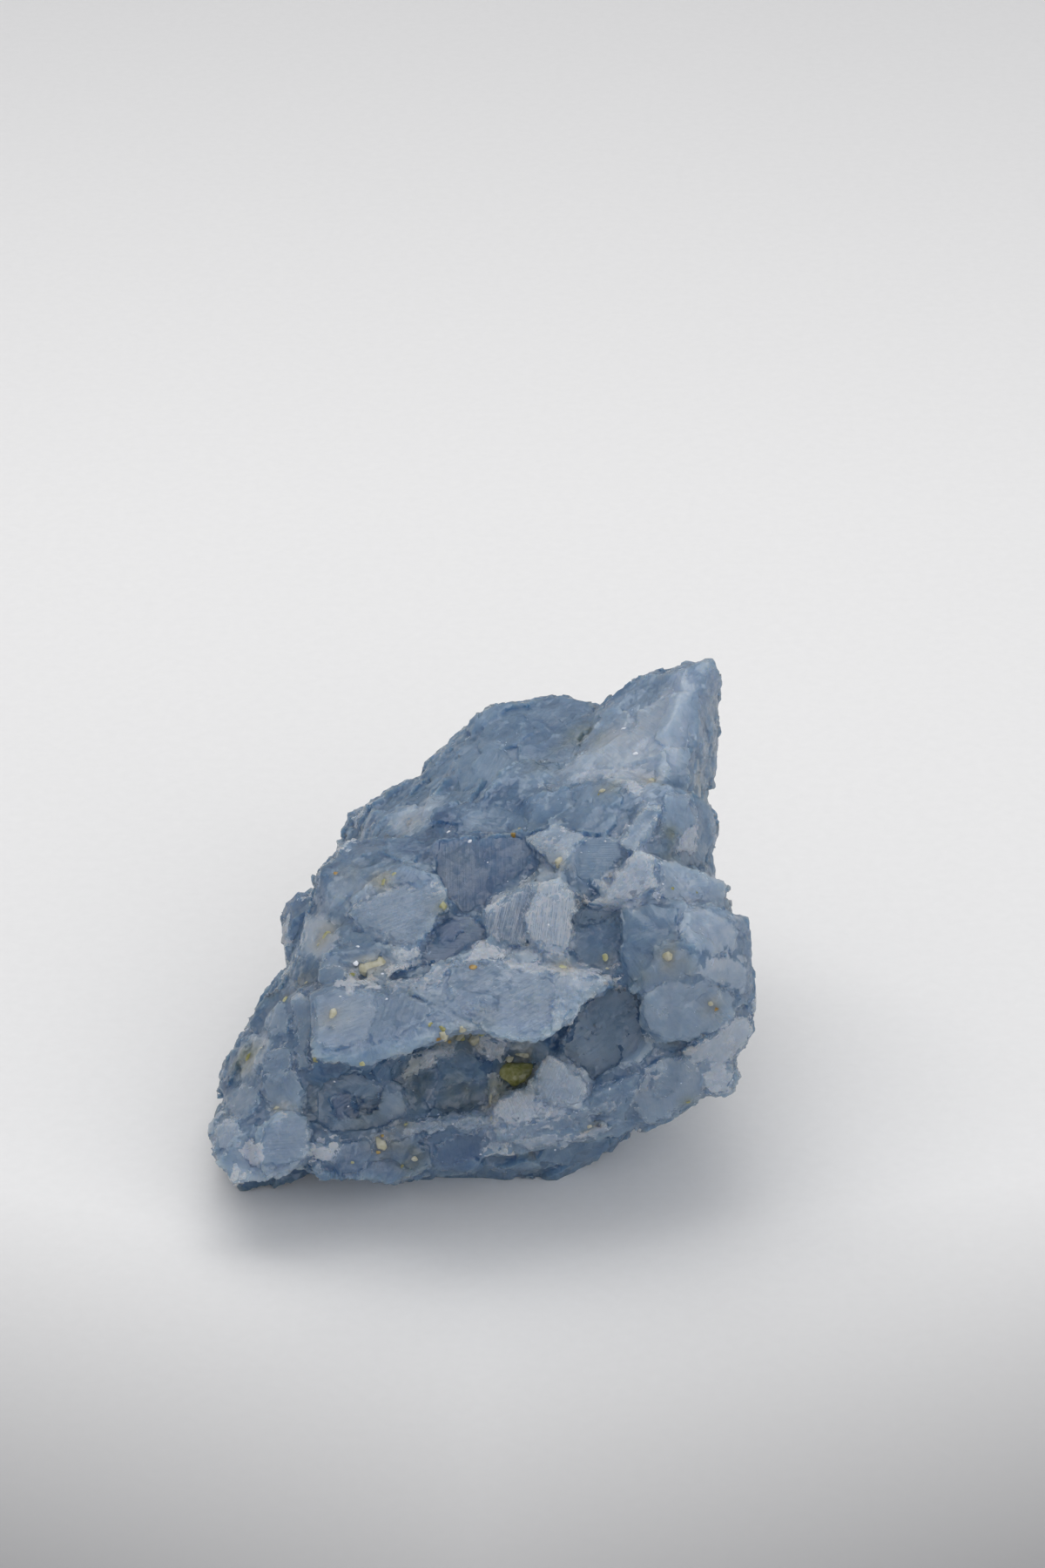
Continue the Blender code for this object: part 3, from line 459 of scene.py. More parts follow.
def surface_mesh(field):
    """Surface nets: one vertex in each cell that the surface passes through."""
    F, h = field.F, field.step
    S = F < 0
    c = np.zeros(tuple(s - 1 for s in F.shape), np.uint8)
    for dx in (0, 1):
        for dy in (0, 1):
            for dz in (0, 1):
                c += S[dx:F.shape[0] - 1 + dx, dy:F.shape[1] - 1 + dy, dz:F.shape[2] - 1 + dz]
    cells = np.argwhere((c > 0) & (c < 8)).astype(np.int32)
    index = np.full(c.shape, -1, np.int32)
    index[cells[:, 0], cells[:, 1], cells[:, 2]] = np.arange(len(cells))
    val = np.zeros((2, 2, 2, len(cells)), np.float32)
    for dx in (0, 1):
        for dy in (0, 1):
            for dz in (0, 1):
                val[dx, dy, dz] = F[cells[:, 0] + dx, cells[:, 1] + dy, cells[:, 2] + dz]
    acc = np.zeros((len(cells), 3), np.float32)
    cnt = np.zeros(len(cells), np.float32)
    for axis in range(3):
        for s in (0, 1):
            for t in (0, 1):
                lo_i = [s, t]; hi_i = [s, t]
                lo_i.insert(axis, 0); hi_i.insert(axis, 1)
                a, b = val[tuple(lo_i)], val[tuple(hi_i)]
                m = (a < 0) != (b < 0)
                tt = np.where(m, a / np.where(m, a - b, 1), 0)
                p = np.zeros((len(cells), 3), np.float32)
                p[:, :] = lo_i
                p[:, axis] = tt
                acc[m] += p[m]
                cnt[m] += 1
    verts = (cells + acc / cnt[:, None]) * h + field.lo.astype(np.float32)
    quads = []
    for axis in range(3):
        b1, b2 = (axis + 1) % 3, (axis + 2) % 3
        lo_s = [slice(1, -1)] * 3
        lo_s[axis] = slice(0, F.shape[axis] - 1)
        hi_s = list(lo_s)
        hi_s[axis] = slice(1, F.shape[axis])
        A, B = S[tuple(lo_s)], S[tuple(hi_s)]
        for sign in (0, 1):
            m = (A & ~B) if sign == 0 else (~A & B)
            e = np.argwhere(m).astype(np.int32)
            e[:, b1] += 1
            e[:, b2] += 1
            ring = []
            for d1, d2 in ((-1, -1), (0, -1), (0, 0), (-1, 0)):
                cell = e.copy()
                cell[:, b1] += d1
                cell[:, b2] += d2
                ring.append(index[cell[:, 0], cell[:, 1], cell[:, 2]])
            q = np.stack(ring, 1)
            quads.append(q if sign == 0 else q[:, ::-1])
    return verts, np.vstack(quads)


# ---- small faces read off the stone: name, tone, frost, lift, tilt, outline --------
# Each sits on the surface under its outline, as a thin cleavage flake or recess.
# lift is its height above that surface; tilt leans it (sideways, upright).
PATCHES = [
    # pinnacle and the pale rim at its foot
    ("pin_pale", 0.85, 0.10, 0.15, (0, 0), [(692, 878), (702, 852), (738, 800), (746, 776), (784, 764), (797, 792), (788, 850),
                                            (794, 890), (768, 892), (732, 880)]),
    ("pin_low", 0.90, 0.15, 0.2, (0, 0), [(640, 888), (700, 842), (736, 836), (750, 868), (722, 884)]),
    ("pin_rim", 0.90, 0.35, 0.25, (0, 0.1), [(618, 902), (648, 886), (700, 880), (745, 884), (768, 897), (735, 900), (690, 895), (655, 898)]),
    # hump
    ("hump_1", 0.25, 0.00, 0.3, (0, 0), [(600, 820), (640, 812), (655, 850), (630, 880), (598, 866)]),
    ("hump_2", 0.50, 0.00, 0.25, (0, 0), [(520, 880), (560, 850), (590, 870), (570, 905), (530, 912)]),
    ("hump_3", 0.85, 0.00, 0.3, (0, 0), [(445, 940), (480, 912), (510, 920), (500, 950), (460, 962)]),
    ("hump_4", 0.45, 0.00, 0.25, (0, 0), [(520, 930), (575, 925), (610, 945), (590, 958), (540, 955)]),
    # shoulder
    ("slate_1", 0.45, 0.00, 0.1, (0, 0), [(604, 955), (612, 925), (640, 905), (690, 900), (716, 915), (708, 945), (690, 960), (650, 950)]),
    ("slate_2", 0.50, 0.05, 0.25, (0, 0.05), [(655, 905), (690, 897), (715, 903), (700, 918), (668, 922)]),
    ("white_1", 0.85, 0.80, 0.2, (0, 0), [(722, 899), (732, 896), (739, 902), (730, 909), (723, 907)]),
    ("strip_1", 0.65, 0.25, 0.3, (0, 0), [(738, 920), (748, 926), (760, 925), (757, 934), (752, 945), (744, 952), (738, 965), (732, 977),
                                          (722, 974), (712, 970), (716, 962), (722, 955), (727, 940), (730, 930)]),
    ("shoulder_1", 0.65, 0.00, 0.25, (0, 0), [(762, 912), (790, 915), (800, 940), (782, 960), (764, 950)]),
    ("shoulder_2", 1.00, 0.35, 0.3, (0, 0), [(780, 952), (796, 948), (802, 962), (796, 980), (782, 978)]),
    ("patch_d", 0.70, 0.25, 0.3, (0, 0), [(608, 965), (614, 960), (620, 958), (632, 949), (645, 948), (652, 954), (672, 962), (663, 967),
                                          (655, 975), (655, 983), (650, 990), (645, 1000), (637, 996), (630, 990), (627, 983), (620, 980), (613, 972)]),
    ("patch_e", 0.50, 0.05, 0.2, (0, 0), [(655, 975), (662, 968), (672, 962), (692, 960), (712, 962), (720, 972), (730, 978), (724, 982),
                                          (715, 985), (706, 988), (700, 995), (693, 1000), (690, 1010), (681, 1009), (672, 1012), (664, 1005), (662, 995), (656, 988)]),
    # bright flake and slab
    ("flake_f2", 0.85, 0.60, 0.35, (0, 0), [(728, 979), (738, 977), (746, 981), (752, 985), (748, 993), (745, 1000), (746, 1008), (742, 1015),
                                           (752, 1010), (755, 1014), (748, 1020), (741, 1026), (735, 1032), (715, 1034), (704, 1033), (695, 1037),
                                           (691, 1034), (698, 1026), (705, 1015), (706, 1006), (710, 1000), (719, 990)]),
    ("slab_g2", 0.75, 0.10, 0.3, (0, 0.05), [(752, 985), (763, 989), (775, 990), (792, 998), (810, 1000), (822, 1010), (835, 1015), (832, 1022),
                                             (834, 1030), (823, 1039), (806, 1036), (790, 1038), (774, 1034), (760, 1032), (755, 1022), (760, 1008)]),
    ("slab_g3", 0.75, 0.00, 0.4, (0.05, 0), [(790, 1004), (812, 1006), (818, 1018), (806, 1030), (786, 1024)]),
    ("white_g", 1.00, 0.80, 0.25, (0, 0), [(748, 1026), (755, 1023), (759, 1029), (753, 1036), (747, 1034)]),
    # dark gap and its light band
    ("gap_h", 0.55, 0.00, -1.0, (0, 0), [(657, 1046), (672, 1040), (690, 1044), (702, 1040), (712, 1046), (700, 1054), (688, 1060), (668, 1062), (658, 1058)]),
    ("band_h", 1.00, 0.75, 0.3, (0, 0), [(676, 1036), (692, 1033), (708, 1038), (716, 1043), (700, 1043), (684, 1041)]),
    # fibrous faces
    ("fibre_1", 0.70, 0.45, 0.35, (-0.05, 0), [(620, 1020), (626, 1014), (640, 1012), (647, 1020), (658, 1025), (656, 1032), (658, 1040), (663, 1043),
                                               (659, 1050), (655, 1060), (657, 1072), (655, 1085), (650, 1093), (641, 1087), (632, 1088), (621, 1081),
                                               (610, 1080), (606, 1070), (600, 1060), (604, 1048), (610, 1040), (614, 1030)]),
    ("fibre_2", 0.35, 0.20, 0.2, (0.05, 0), [(556, 1060), (566, 1044), (580, 1030), (594, 1022), (608, 1016), (612, 1030), (603, 1048), (598, 1064),
                                            (604, 1078), (592, 1082), (575, 1080), (562, 1074)]),
    ("facet_j2", 0.10, 0.00, -0.5, (0, 0), [(506, 965), (560, 958), (600, 962), (612, 978), (600, 1000), (572, 1018), (556, 1040), (530, 1048), (514, 1028), (500, 1000)]),
    ("facet_j3", 0.40, 0.00, 0.3, (0, 0), [(520, 985), (548, 972), (566, 985), (556, 1008), (532, 1012)]),
    ("patch_k", 0.55, 0.20, 0.3, (0, 0), [(402, 1050), (410, 1040), (420, 1035), (434, 1024), (450, 1020), (474, 1022), (500, 1018), (508, 1020), (515, 1026),
                                         (512, 1036), (515, 1045), (506, 1049), (500, 1055), (497, 1064), (490, 1070), (484, 1080), (475, 1088),
                                         (464, 1085), (455, 1085), (446, 1079), (440, 1070), (430, 1068), (418, 1064), (410, 1058)]),
    ("patch_k2", 0.45, 0.10, 0.3, (0, 0.05), [(440, 1005), (462, 994), (486, 998), (500, 1008), (486, 1016), (460, 1014), (444, 1018)]),
    ("patch_k3", 0.75, 0.00, 0.3, (0, 0), [(372, 1020), (392, 1004), (414, 1004), (426, 1018), (410, 1032), (392, 1044), (376, 1040)]),
    ("facet_l2", 0.15, 0.00, -0.35, (0, 0), [(486, 1100), (492, 1080), (502, 1062), (520, 1050), (545, 1052), (560, 1066), (556, 1080), (538, 1084), (520, 1098), (500, 1110)]),
    ("facet_l3", 0.00, 0.00, 0.3, (0, 0), [(500, 1066), (520, 1056), (534, 1062), (524, 1080), (506, 1084)]),
    ("facet_m", 0.40, 0.00, 0.3, (0, 0), [(380, 1084), (402, 1070), (428, 1074), (440, 1086), (430, 1102), (404, 1108), (384, 1102)]),
    # bright torn rim of the ledge
    ("rim_1", 1.00, 0.60, 0.3, (0, 0), [(540, 1092), (546, 1082), (558, 1081), (566, 1086), (580, 1096), (572, 1103), (556, 1100), (546, 1104), (536, 1102)]),
    ("rim_2", 0.55, 0.55, 0.3, (0, 0), [(440, 1130), (456, 1124), (474, 1124), (500, 1118), (512, 1106), (520, 1101), (526, 1106), (512, 1120), (500, 1132),
                                        (476, 1135), (452, 1137)]),
    ("rim_3", 1.00, 0.50, 0.25, (0, 0), [(575, 1102), (600, 1104), (632, 1108), (660, 1112), (700, 1120), (716, 1122), (700, 1128), (664, 1122),
                                        (630, 1118), (600, 1114), (580, 1112)]),
    ("chip_1", 0.80, 0.40, 0.3, (0, 0), [(452, 1106), (456, 1094), (466, 1088), (478, 1089), (481, 1097), (474, 1106), (462, 1110)]),
    ("chip_2", 1.00, 0.50, 0.3, (0, 0), [(445, 1119), (448, 1108), (458, 1103), (468, 1106), (463, 1116), (453, 1121)]),
    ("dark_m", 0.50, 0.00, -0.7, (0, 0), [(444, 1122), (462, 1114), (482, 1108), (502, 1104), (496, 1114), (474, 1120), (456, 1126)]),
    ("flake_m3", 0.75, 0.10, 0.3, (0, 0), [(585, 1094), (600, 1086), (614, 1088), (620, 1100), (604, 1106), (590, 1104)]),
    ("flake_m4", 0.45, 0.30, 0.3, (0, 0), [(622, 1096), (636, 1090), (650, 1096), (652, 1106), (636, 1108), (624, 1106)]),
    # ledge faces
    ("ledge_1", 0.45, 0.20, 0.25, (0, 0), [(520, 1112), (552, 1104), (584, 1112), (620, 1118), (642, 1130), (640, 1150), (632, 1180), (616, 1195),
                                          (590, 1192), (560, 1184), (536, 1166), (522, 1146), (514, 1128)]),
    ("ledge_2", 0.65, 0.30, 0.35, (0.05, 0), [(638, 1122), (664, 1122), (690, 1124), (704, 1126), (690, 1134), (680, 1146), (664, 1152), (654, 1158),
                                             (646, 1176), (636, 1184), (632, 1160), (640, 1142)]),
    ("ledge_3", 0.55, 0.10, 0.3, (0, 0), [(474, 1138), (500, 1134), (520, 1146), (536, 1168), (560, 1186), (545, 1184), (520, 1170), (500, 1158), (480, 1150)]),
    ("ledge_o2", 0.50, 0.15, 0.3, (0, 0), [(362, 1146), (384, 1134), (410, 1136), (428, 1144), (430, 1168), (420, 1192), (396, 1204), (372, 1206), (362, 1184)]),
    ("ledge_o3", 0.40, 0.05, 0.3, (0, 0), [(432, 1142), (462, 1140), (486, 1148), (500, 1160), (480, 1176), (452, 1192), (430, 1200), (424, 1180), (434, 1162)]),
    ("ledge_o4", 1.00, 0.65, 0.25, (0, 0.1), [(386, 1130), (398, 1122), (414, 1124), (432, 1126), (436, 1134), (416, 1136), (398, 1138)]),
    # hollow under the ledge
    ("hollow_1", 0.20, 0.00, 0.3, (0, 0), [(430, 1228), (448, 1212), (470, 1204), (468, 1222), (452, 1240), (436, 1246)]),
    ("hollow_2", 1.00, 0.60, 0.35, (0, 0), [(462, 1216), (470, 1210), (484, 1210), (492, 1204), (506, 1202), (520, 1205), (512, 1212), (500, 1214),
                                           (500, 1224), (490, 1230), (478, 1232), (466, 1236), (462, 1228)]),
    ("hollow_3", 1.00, 0.75, 0.3, (0, 0), [(550, 1196), (566, 1194), (580, 1200), (582, 1212), (570, 1218), (556, 1212)]),
    ("hollow_4", 0.45, 0.00, 0.3, (0, 0), [(500, 1216), (530, 1206), (548, 1216), (556, 1236), (530, 1244), (506, 1238)]),
    ("layer_1", 0.25, 0.00, -0.4, (0, 0), [(500, 1252), (530, 1240), (560, 1240), (564, 1258), (548, 1272), (516, 1280), (498, 1272)]),
    ("disc_1", 0.75, 0.35, 0.45, (0, 0), [(622, 1218), (628, 1213), (636, 1214), (642, 1219), (650, 1222), (654, 1230), (663, 1232), (666, 1240),
                                          (672, 1245), (676, 1254), (668, 1258), (660, 1265), (648, 1264), (640, 1268), (628, 1264), (620, 1266),
                                          (617, 1257), (612, 1250), (616, 1242), (613, 1235), (619, 1228)]),
    ("disc_2", 1.00, 0.65, 0.4, (0, 0), [(567, 1275), (572, 1268), (574, 1260), (582, 1258), (590, 1251), (600, 1250), (604, 1256), (612, 1258),
                                         (614, 1264), (622, 1266), (626, 1272), (635, 1275), (628, 1281), (620, 1285), (610, 1286), (600, 1290),
                                         (590, 1286), (580, 1289), (572, 1284)]),
    ("seam_1", 1.00, 0.95, 0.80, (0, 0), [(560, 1232), (568, 1230), (572, 1246), (570, 1262), (573, 1280), (566, 1290), (560, 1278), (562, 1256)]),
    # dark recess to the right of the ledge
    ("recess_q", 0.65, 0.00, -0.8, (0, 0), [(662, 1166), (672, 1154), (690, 1136), (714, 1130), (732, 1142), (734, 1172), (742, 1190), (736, 1206),
                                           (704, 1226), (682, 1238), (666, 1226), (650, 1214), (646, 1200), (656, 1186)]),
    ("recess_q2", 0.80, 0.00, 0.3, (0, 0), [(708, 1200), (722, 1188), (740, 1183), (752, 1190), (748, 1206), (736, 1218), (716, 1222)]),
    # right-hand bulge
    ("bulge_1", 0.45, 0.00, 0.15, (0, 0), [(716, 1042), (745, 1040), (778, 1042), (772, 1070), (752, 1100), (728, 1130), (718, 1112), (714, 1076)]),
    ("bulge_2", 0.85, 0.05, 0.3, (0, 0), [(786, 1046), (812, 1044), (838, 1056), (850, 1068), (840, 1092), (812, 1098), (790, 1086), (780, 1066)]),
    ("bulge_3", 0.70, 0.00, 0.3, (0, 0), [(738, 1112), (764, 1090), (792, 1092), (804, 1108), (782, 1124), (756, 1130), (738, 1134)]),
    ("bulge_4", 0.70, 0.10, 0.3, (0, 0), [(740, 1140), (754, 1134), (770, 1126), (796, 1130), (820, 1131), (834, 1138), (845, 1146), (840, 1156), (843, 1165),
                                         (830, 1176), (820, 1185), (804, 1188), (790, 1195), (774, 1191), (760, 1190), (750, 1186), (745, 1178), (737, 1165)]),
    ("bulge_5", 0.90, 0.00, 0.25, (0, 0), [(812, 1100), (838, 1096), (856, 1104), (860, 1126), (846, 1138), (822, 1128), (806, 1116)]),
    ("bulge_6", 0.95, 0.20, 0.3, (0, 0), [(785, 1208), (800, 1195), (814, 1190), (830, 1180), (845, 1170), (860, 1167), (864, 1182), (858, 1198),
                                         (850, 1210), (832, 1218), (812, 1216), (800, 1221)]),
    ("bulge_7", 0.70, 0.10, 0.3, (0, 0), [(740, 1225), (760, 1216), (790, 1215), (804, 1226), (811, 1240), (811, 1252), (796, 1263), (782, 1270),
                                         (770, 1281), (758, 1284), (745, 1290), (730, 1278), (727, 1262)]),
    ("bulge_8", 0.55, 0.20, 0.3, (0, 0), [(746, 1232), (766, 1226), (780, 1234), (776, 1252), (758, 1262), (744, 1250)]),
    ("lobe_1", 1.00, 0.35, 0.2, (0, 0), [(808, 1232), (816, 1222), (832, 1220), (843, 1228), (844, 1242), (834, 1254), (818, 1254), (809, 1245)]),
    # layered band and bottom rim
    ("stripe_1", 0.55, 0.25, 0.3, (0, 0), [(560, 1300), (590, 1292), (630, 1288), (664, 1276), (700, 1262), (704, 1270), (668, 1288), (630, 1300), (590, 1308), (566, 1312)]),
    ("stripe_2", 0.45, 0.10, 0.3, (0, 0), [(668, 1264), (690, 1250), (716, 1238), (738, 1232), (728, 1248), (704, 1260), (680, 1274)]),
    ("stripe_3", 0.75, 0.35, 0.3, (0, 0), [(590, 1310), (620, 1302), (660, 1300), (690, 1290), (704, 1294), (680, 1306), (644, 1312), (606, 1318)]),
    ("stripe_4", 0.65, 0.40, 0.3, (0, 0), [(465, 1290), (480, 1282), (500, 1284), (520, 1276), (548, 1280), (560, 1288), (540, 1296), (512, 1298), (490, 1304), (472, 1302)]),
    ("stripe_5", 0.20, 0.05, 0.3, (0, 0), [(500, 1312), (530, 1302), (556, 1306), (552, 1326), (524, 1334), (502, 1330)]),
    ("dark_t", 0.45, 0.00, -0.6, (0, 0), [(366, 1252), (380, 1236), (410, 1232), (440, 1244), (462, 1262), (466, 1278), (444, 1292), (410, 1298), (380, 1300), (364, 1284)]),
    ("low_1", 0.00, 0.00, 0.3, (0, 0), [(376, 1262), (396, 1252), (416, 1262), (410, 1282), (388, 1286)]),
    ("low_2", 0.30, 0.10, 0.3, (0, 0), [(372, 1330), (392, 1312), (420, 1308), (430, 1322), (420, 1342), (392, 1348)]),
    ("low_3", 0.30, 0.00, 0.25, (0, 0), [(450, 1312), (470, 1306), (492, 1314), (494, 1334), (472, 1342), (452, 1332)]),
    ("white_t", 1.00, 0.80, 0.3, (0, 0), [(357, 1318), (364, 1312), (374, 1315), (378, 1308), (386, 1310), (388, 1318), (382, 1326), (384, 1333), (374, 1336),
                                         (364, 1332), (358, 1326)]),
    # left flank
    ("scale_u", 0.55, 0.15, 0.3, (0, 0), [(304, 1222), (308, 1208), (320, 1200), (332, 1204), (336, 1218), (330, 1234), (316, 1241), (306, 1234)]),
    ("ridge_u", 0.65, 0.10, 0.3, (0, 0), [(334, 1146), (346, 1138), (358, 1150), (358, 1180), (352, 1206), (356, 1226), (342, 1228), (336, 1204), (340, 1176)]),
    ("flank_1", 0.65, 0.05, 0.3, (0, 0), [(300, 1232), (318, 1226), (340, 1232), (350, 1250), (344, 1270), (322, 1275), (304, 1264), (300, 1248)]),
    ("flank_2", 0.90, 0.00, 0.3, (0, 0), [(274, 1216), (290, 1190), (306, 1186), (304, 1208), (296, 1232), (278, 1240)]),
    ("flank_3", 0.60, 0.10, 0.3, (0, 0), [(258, 1262), (276, 1246), (296, 1248), (300, 1266), (284, 1282), (262, 1280)]),
    ("flank_4", 0.65, 0.00, 0.3, (0, 0), [(306, 1160), (322, 1150), (334, 1162), (330, 1186), (312, 1192), (304, 1178)]),
    ("slab_v", 0.50, 0.15, 0.4, (0, 0), [(318, 1280), (326, 1275), (335, 1274), (344, 1278), (352, 1280), (352, 1290), (355, 1300), (354, 1308), (358, 1315),
                                         (354, 1322), (352, 1330), (340, 1332), (330, 1335), (314, 1337), (300, 1340), (300, 1330), (298, 1320),
                                         (303, 1308), (305, 1295), (312, 1288)]),
    # painted reflections: sparkle_1 and sparkle_2 are bright white patches that stand in for light mirrored by glassy
    # faces
    ("sparkle_1", 1.00, 1.00, 0.3, (0, 0), [(282, 1314), (288, 1308), (300, 1312), (302, 1326), (298, 1340), (286, 1338), (280, 1326)]),
    ("sparkle_2", 1.00, 0.75, 0.3, (0, 0), [(264, 1342), (276, 1340), (290, 1344), (286, 1356), (270, 1358), (262, 1352)]),
    ("flank_5", 0.80, 0.15, 0.3, (0, 0), [(246, 1296), (258, 1284), (272, 1286), (276, 1304), (264, 1320), (250, 1318)]),
    # left upper flank, far from the eye
    ("far_1", 0.95, 0.05, 0.3, (0, 0), [(340, 1066), (360, 1052), (384, 1058), (392, 1084), (372, 1102), (346, 1098)]),
    ("far_2", 0.45, 0.10, 0.3, (0, 0), [(352, 1112), (372, 1104), (396, 1108), (400, 1120), (376, 1128), (356, 1128)]),
]


def poly_distance(x, y, poly):
    """Signed distance to a closed outline, negative inside."""
    P = np.array(poly, np.float32)
    best = np.full(x.shape, 1e9, np.float32)
    inside = np.zeros(x.shape, bool)
    for (x1, y1), (x2, y2) in zip(P, np.roll(P, -1, 0)):
        dx, dy = x2 - x1, y2 - y1
        t = np.clip(((x - x1) * dx + (y - y1) * dy) / (dx * dx + dy * dy + 1e-9), 0, 1)
        best = np.minimum(best, (x - x1 - t * dx) ** 2 + (y - y1 - t * dy) ** 2)
        cross = ((y1 > y) != (y2 > y)) & (x < dx * (y - y1) / (dy if abs(dy) > 1e-9 else 1e-9) + x1)
        inside ^= cross
    d = np.sqrt(best)
    return np.where(inside, -d, d)


def march(field, col, row):
    """Depth at which the line of sight through a layout point first meets the field."""
    deps = np.arange(-14.0, 46.0, 0.12)
    pts = np.array([lay(col, row, d) for d in deps], np.float32)
    v = field.sample(pts)
    hit = np.argmax(v < 0)
    if v[hit] >= 0:
        return None
    if hit == 0:
        return deps[0]
    a, b = v[hit - 1], v[hit]
    return deps[hit - 1] + 0.12 * a / (a - b)


def gradient(field, P, e, A=None):
    """Slope of the field at points P, over a distance e."""
    P = np.asarray(P, np.float32)
    g = []
    for axis in range(3):
        d = np.zeros(3, np.float32)
        d[axis] = e
        g.append((field.sample(P + d, A) - field.sample(P - d, A)) / (2 * e))
    return np.stack(g, 1)


def shifted(A, axis, pick):
    out = A.copy()
    a, b = [slice(None)] * 3, [slice(None)] * 3
    a[axis], b[axis] = slice(1, None), slice(None, -1)
    out[tuple(a)] = pick(out[tuple(a)], A[tuple(b)])
    out[tuple(b)] = pick(out[tuple(b)], A[tuple(a)])
    return out


def spread(A, n, pick):
    """Grows (minimum) or shrinks (maximum) the solid by n cells, nearly evenly round."""
    for i in range(n):
        if i % 2:
            for axis in range(3):
                A = shifted(A, axis, pick)
        else:
            parts = [shifted(A, axis, pick) for axis in range(3)]
            A = pick(pick(parts[0], parts[1]), parts[2])
    return A


def close_gaps(field, reach, back):
    """Fills the joints between grains that are narrower than twice the reach."""
    n = max(1, int(round(reach / field.step)))
    A = np.clip(field.F, -3.0, 3.0)
    closed = spread(spread(A, n, np.minimum), n, np.maximum) + np.float32(back)
    m = closed < field.F
    field.F[m] = closed[m]


def jagged(outline, key, step, amp):
    """Square little steps along each side, as torn cleavage leaves them."""
    rng = random.Random(key)
    P = np.array(outline, float)
    out = []
    for a, b in zip(P, np.roll(P, -1, 0)):
        d = b - a
        length = float(np.linalg.norm(d))
        if length < 1e-6:
            continue
        side = np.array([d[1], -d[0]]) / length
        n = max(1, int(round(length / step)))
        cuts = [0.0] + sorted((i + rng.uniform(-0.3, 0.3)) / n for i in range(1, n)) + [1.0]
        for t0, t1 in zip(cuts, cuts[1:]):
            off = side * rng.uniform(-amp, amp)
            lean = rng.uniform(-0.25, 0.25) * (t1 - t0)
            out.append(tuple(a + d * (t0 + max(lean, 0)) + off))
            out.append(tuple(a + d * (t1 + min(lean, 0)) + off))
    return out


class Mark:
    """A flat facet with a torn outline, in layout units or in its own plane (mm)."""

    def __init__(self, ident, tone, frost, c, n, spin, poly, sight, amp, fibre=0.0, reach=0.22, soft=0.0):
        self.reach, self.soft = reach, soft
        if fibre:
            # fibres run up the face
            _, u0, v0 = frame_of(np.asarray(n, float), 0.0)
            w0 = np.cross(np.asarray(n, float), u0)
            spin = math.atan2(float(UP @ w0), float(UP @ u0)) + 0.12
        self.ident, self.tone, self.frost, self.fibre = ident, tone, frost, fibre
        self.c = np.asarray(c, float)
        self.n, self.u, self.v = (a.astype(np.float32) for a in frame_of(np.asarray(n, float), spin))
        self.poly, self.sight, self.amp = poly, sight, amp
        if sight:
            rays = np.array([lay(a, b, 0) for a, b in poly]) - EYE
            self.rim = EYE + rays * (((self.c - EYE) @ self.n) / (rays @ self.n))[:, None]
        else:
            self.rim = np.array([self.c + self.u * a + self.v * b for a, b in poly])

    def side(self, p, rough=1.0):
        q = p - self.c.astype(np.float32)
        w = q @ self.n
        if self.sight:
            cc, rr, _ = project(p)
            s = poly_distance(cc.astype(np.float32), rr.astype(np.float32), self.poly) * np.float32(UNIT)
        else:
            # plane coordinates along two directions that are not square to each other
            uv = float(self.u @ self.v)
            a, b = q @ self.u, q @ self.v
            k = 1.0 / (1.0 - uv * uv)
            s = poly_distance((a - uv * b) * k, (b - uv * a) * k, self.poly)
        r = ragged(p - w[:, None] * self.n, self.u, self.v, np.zeros(len(p), np.float32), self.ident, self.amp * rough)
        return (s + r).astype(np.float32), w

    def apply(self, field, info, depth, cut):
        deep = -self.n * depth * 2
        win = field.window(np.minimum(self.rim.min(0), (self.rim + deep).min(0)) - 0.9,
                           np.maximum(self.rim.max(0), (self.rim + deep).max(0)) + 0.9)
        p = field.points(win)
        if not len(p):
            return
        s, w = self.side(p)
        before = field.F[win].ravel()
        if cut:
            # never deeper than a thin flake would leave
            field.carve(win, np.maximum(np.maximum(np.maximum(s, -w), w - 1.6), -before - self.reach * 2), self.ident)
        else:
            field.put(win, np.maximum(np.maximum(s, np.maximum(w, -w - depth)), before - self.reach), self.ident)
        info[self.ident] = (self.tone, self.frost, self.n, self.u, self.v)


def tear_rims(field):
    """Edges that are turned sideways to the front break off in small square steps."""
    band = np.abs(field.F) < 0.8
    where = np.argwhere(band).astype(np.int32)
    g = np.stack([a[band] for a in np.gradient(field.F)], 1)
    g /= np.maximum(np.linalg.norm(g, axis=1, keepdims=True), 1e-6)
    p = field.lo.astype(np.float32) + where.astype(np.float32) * np.float32(field.step)
    view = EYE.astype(np.float32) - p
    view /= np.linalg.norm(view, axis=1, keepdims=True)
    rim = np.clip(1.0 - np.abs((g * view).sum(1)) / 0.5, 0.0, 1.0)
    warp = smooth_noise(p, 2.1, 21) * 0.35
    turn = np.array(Euler((0.5, 0.35, 0.6), "XYZ").to_matrix(), np.float32)
    q = p @ turn.T + warp[:, None]
    i, j = np.floor(q / 1.05).astype(np.int32), np.floor(q / 0.5).astype(np.int32)
    bite = (hash01(i[:, 0], i[:, 1], i[:, 2], np.int32(31)) - 0.36) * 0.62
    bite += (hash01(j[:, 0], j[:, 1], j[:, 2], np.int32(32)) - 0.5) * 0.26
    field.F[band] += (rim * bite).astype(np.float32)


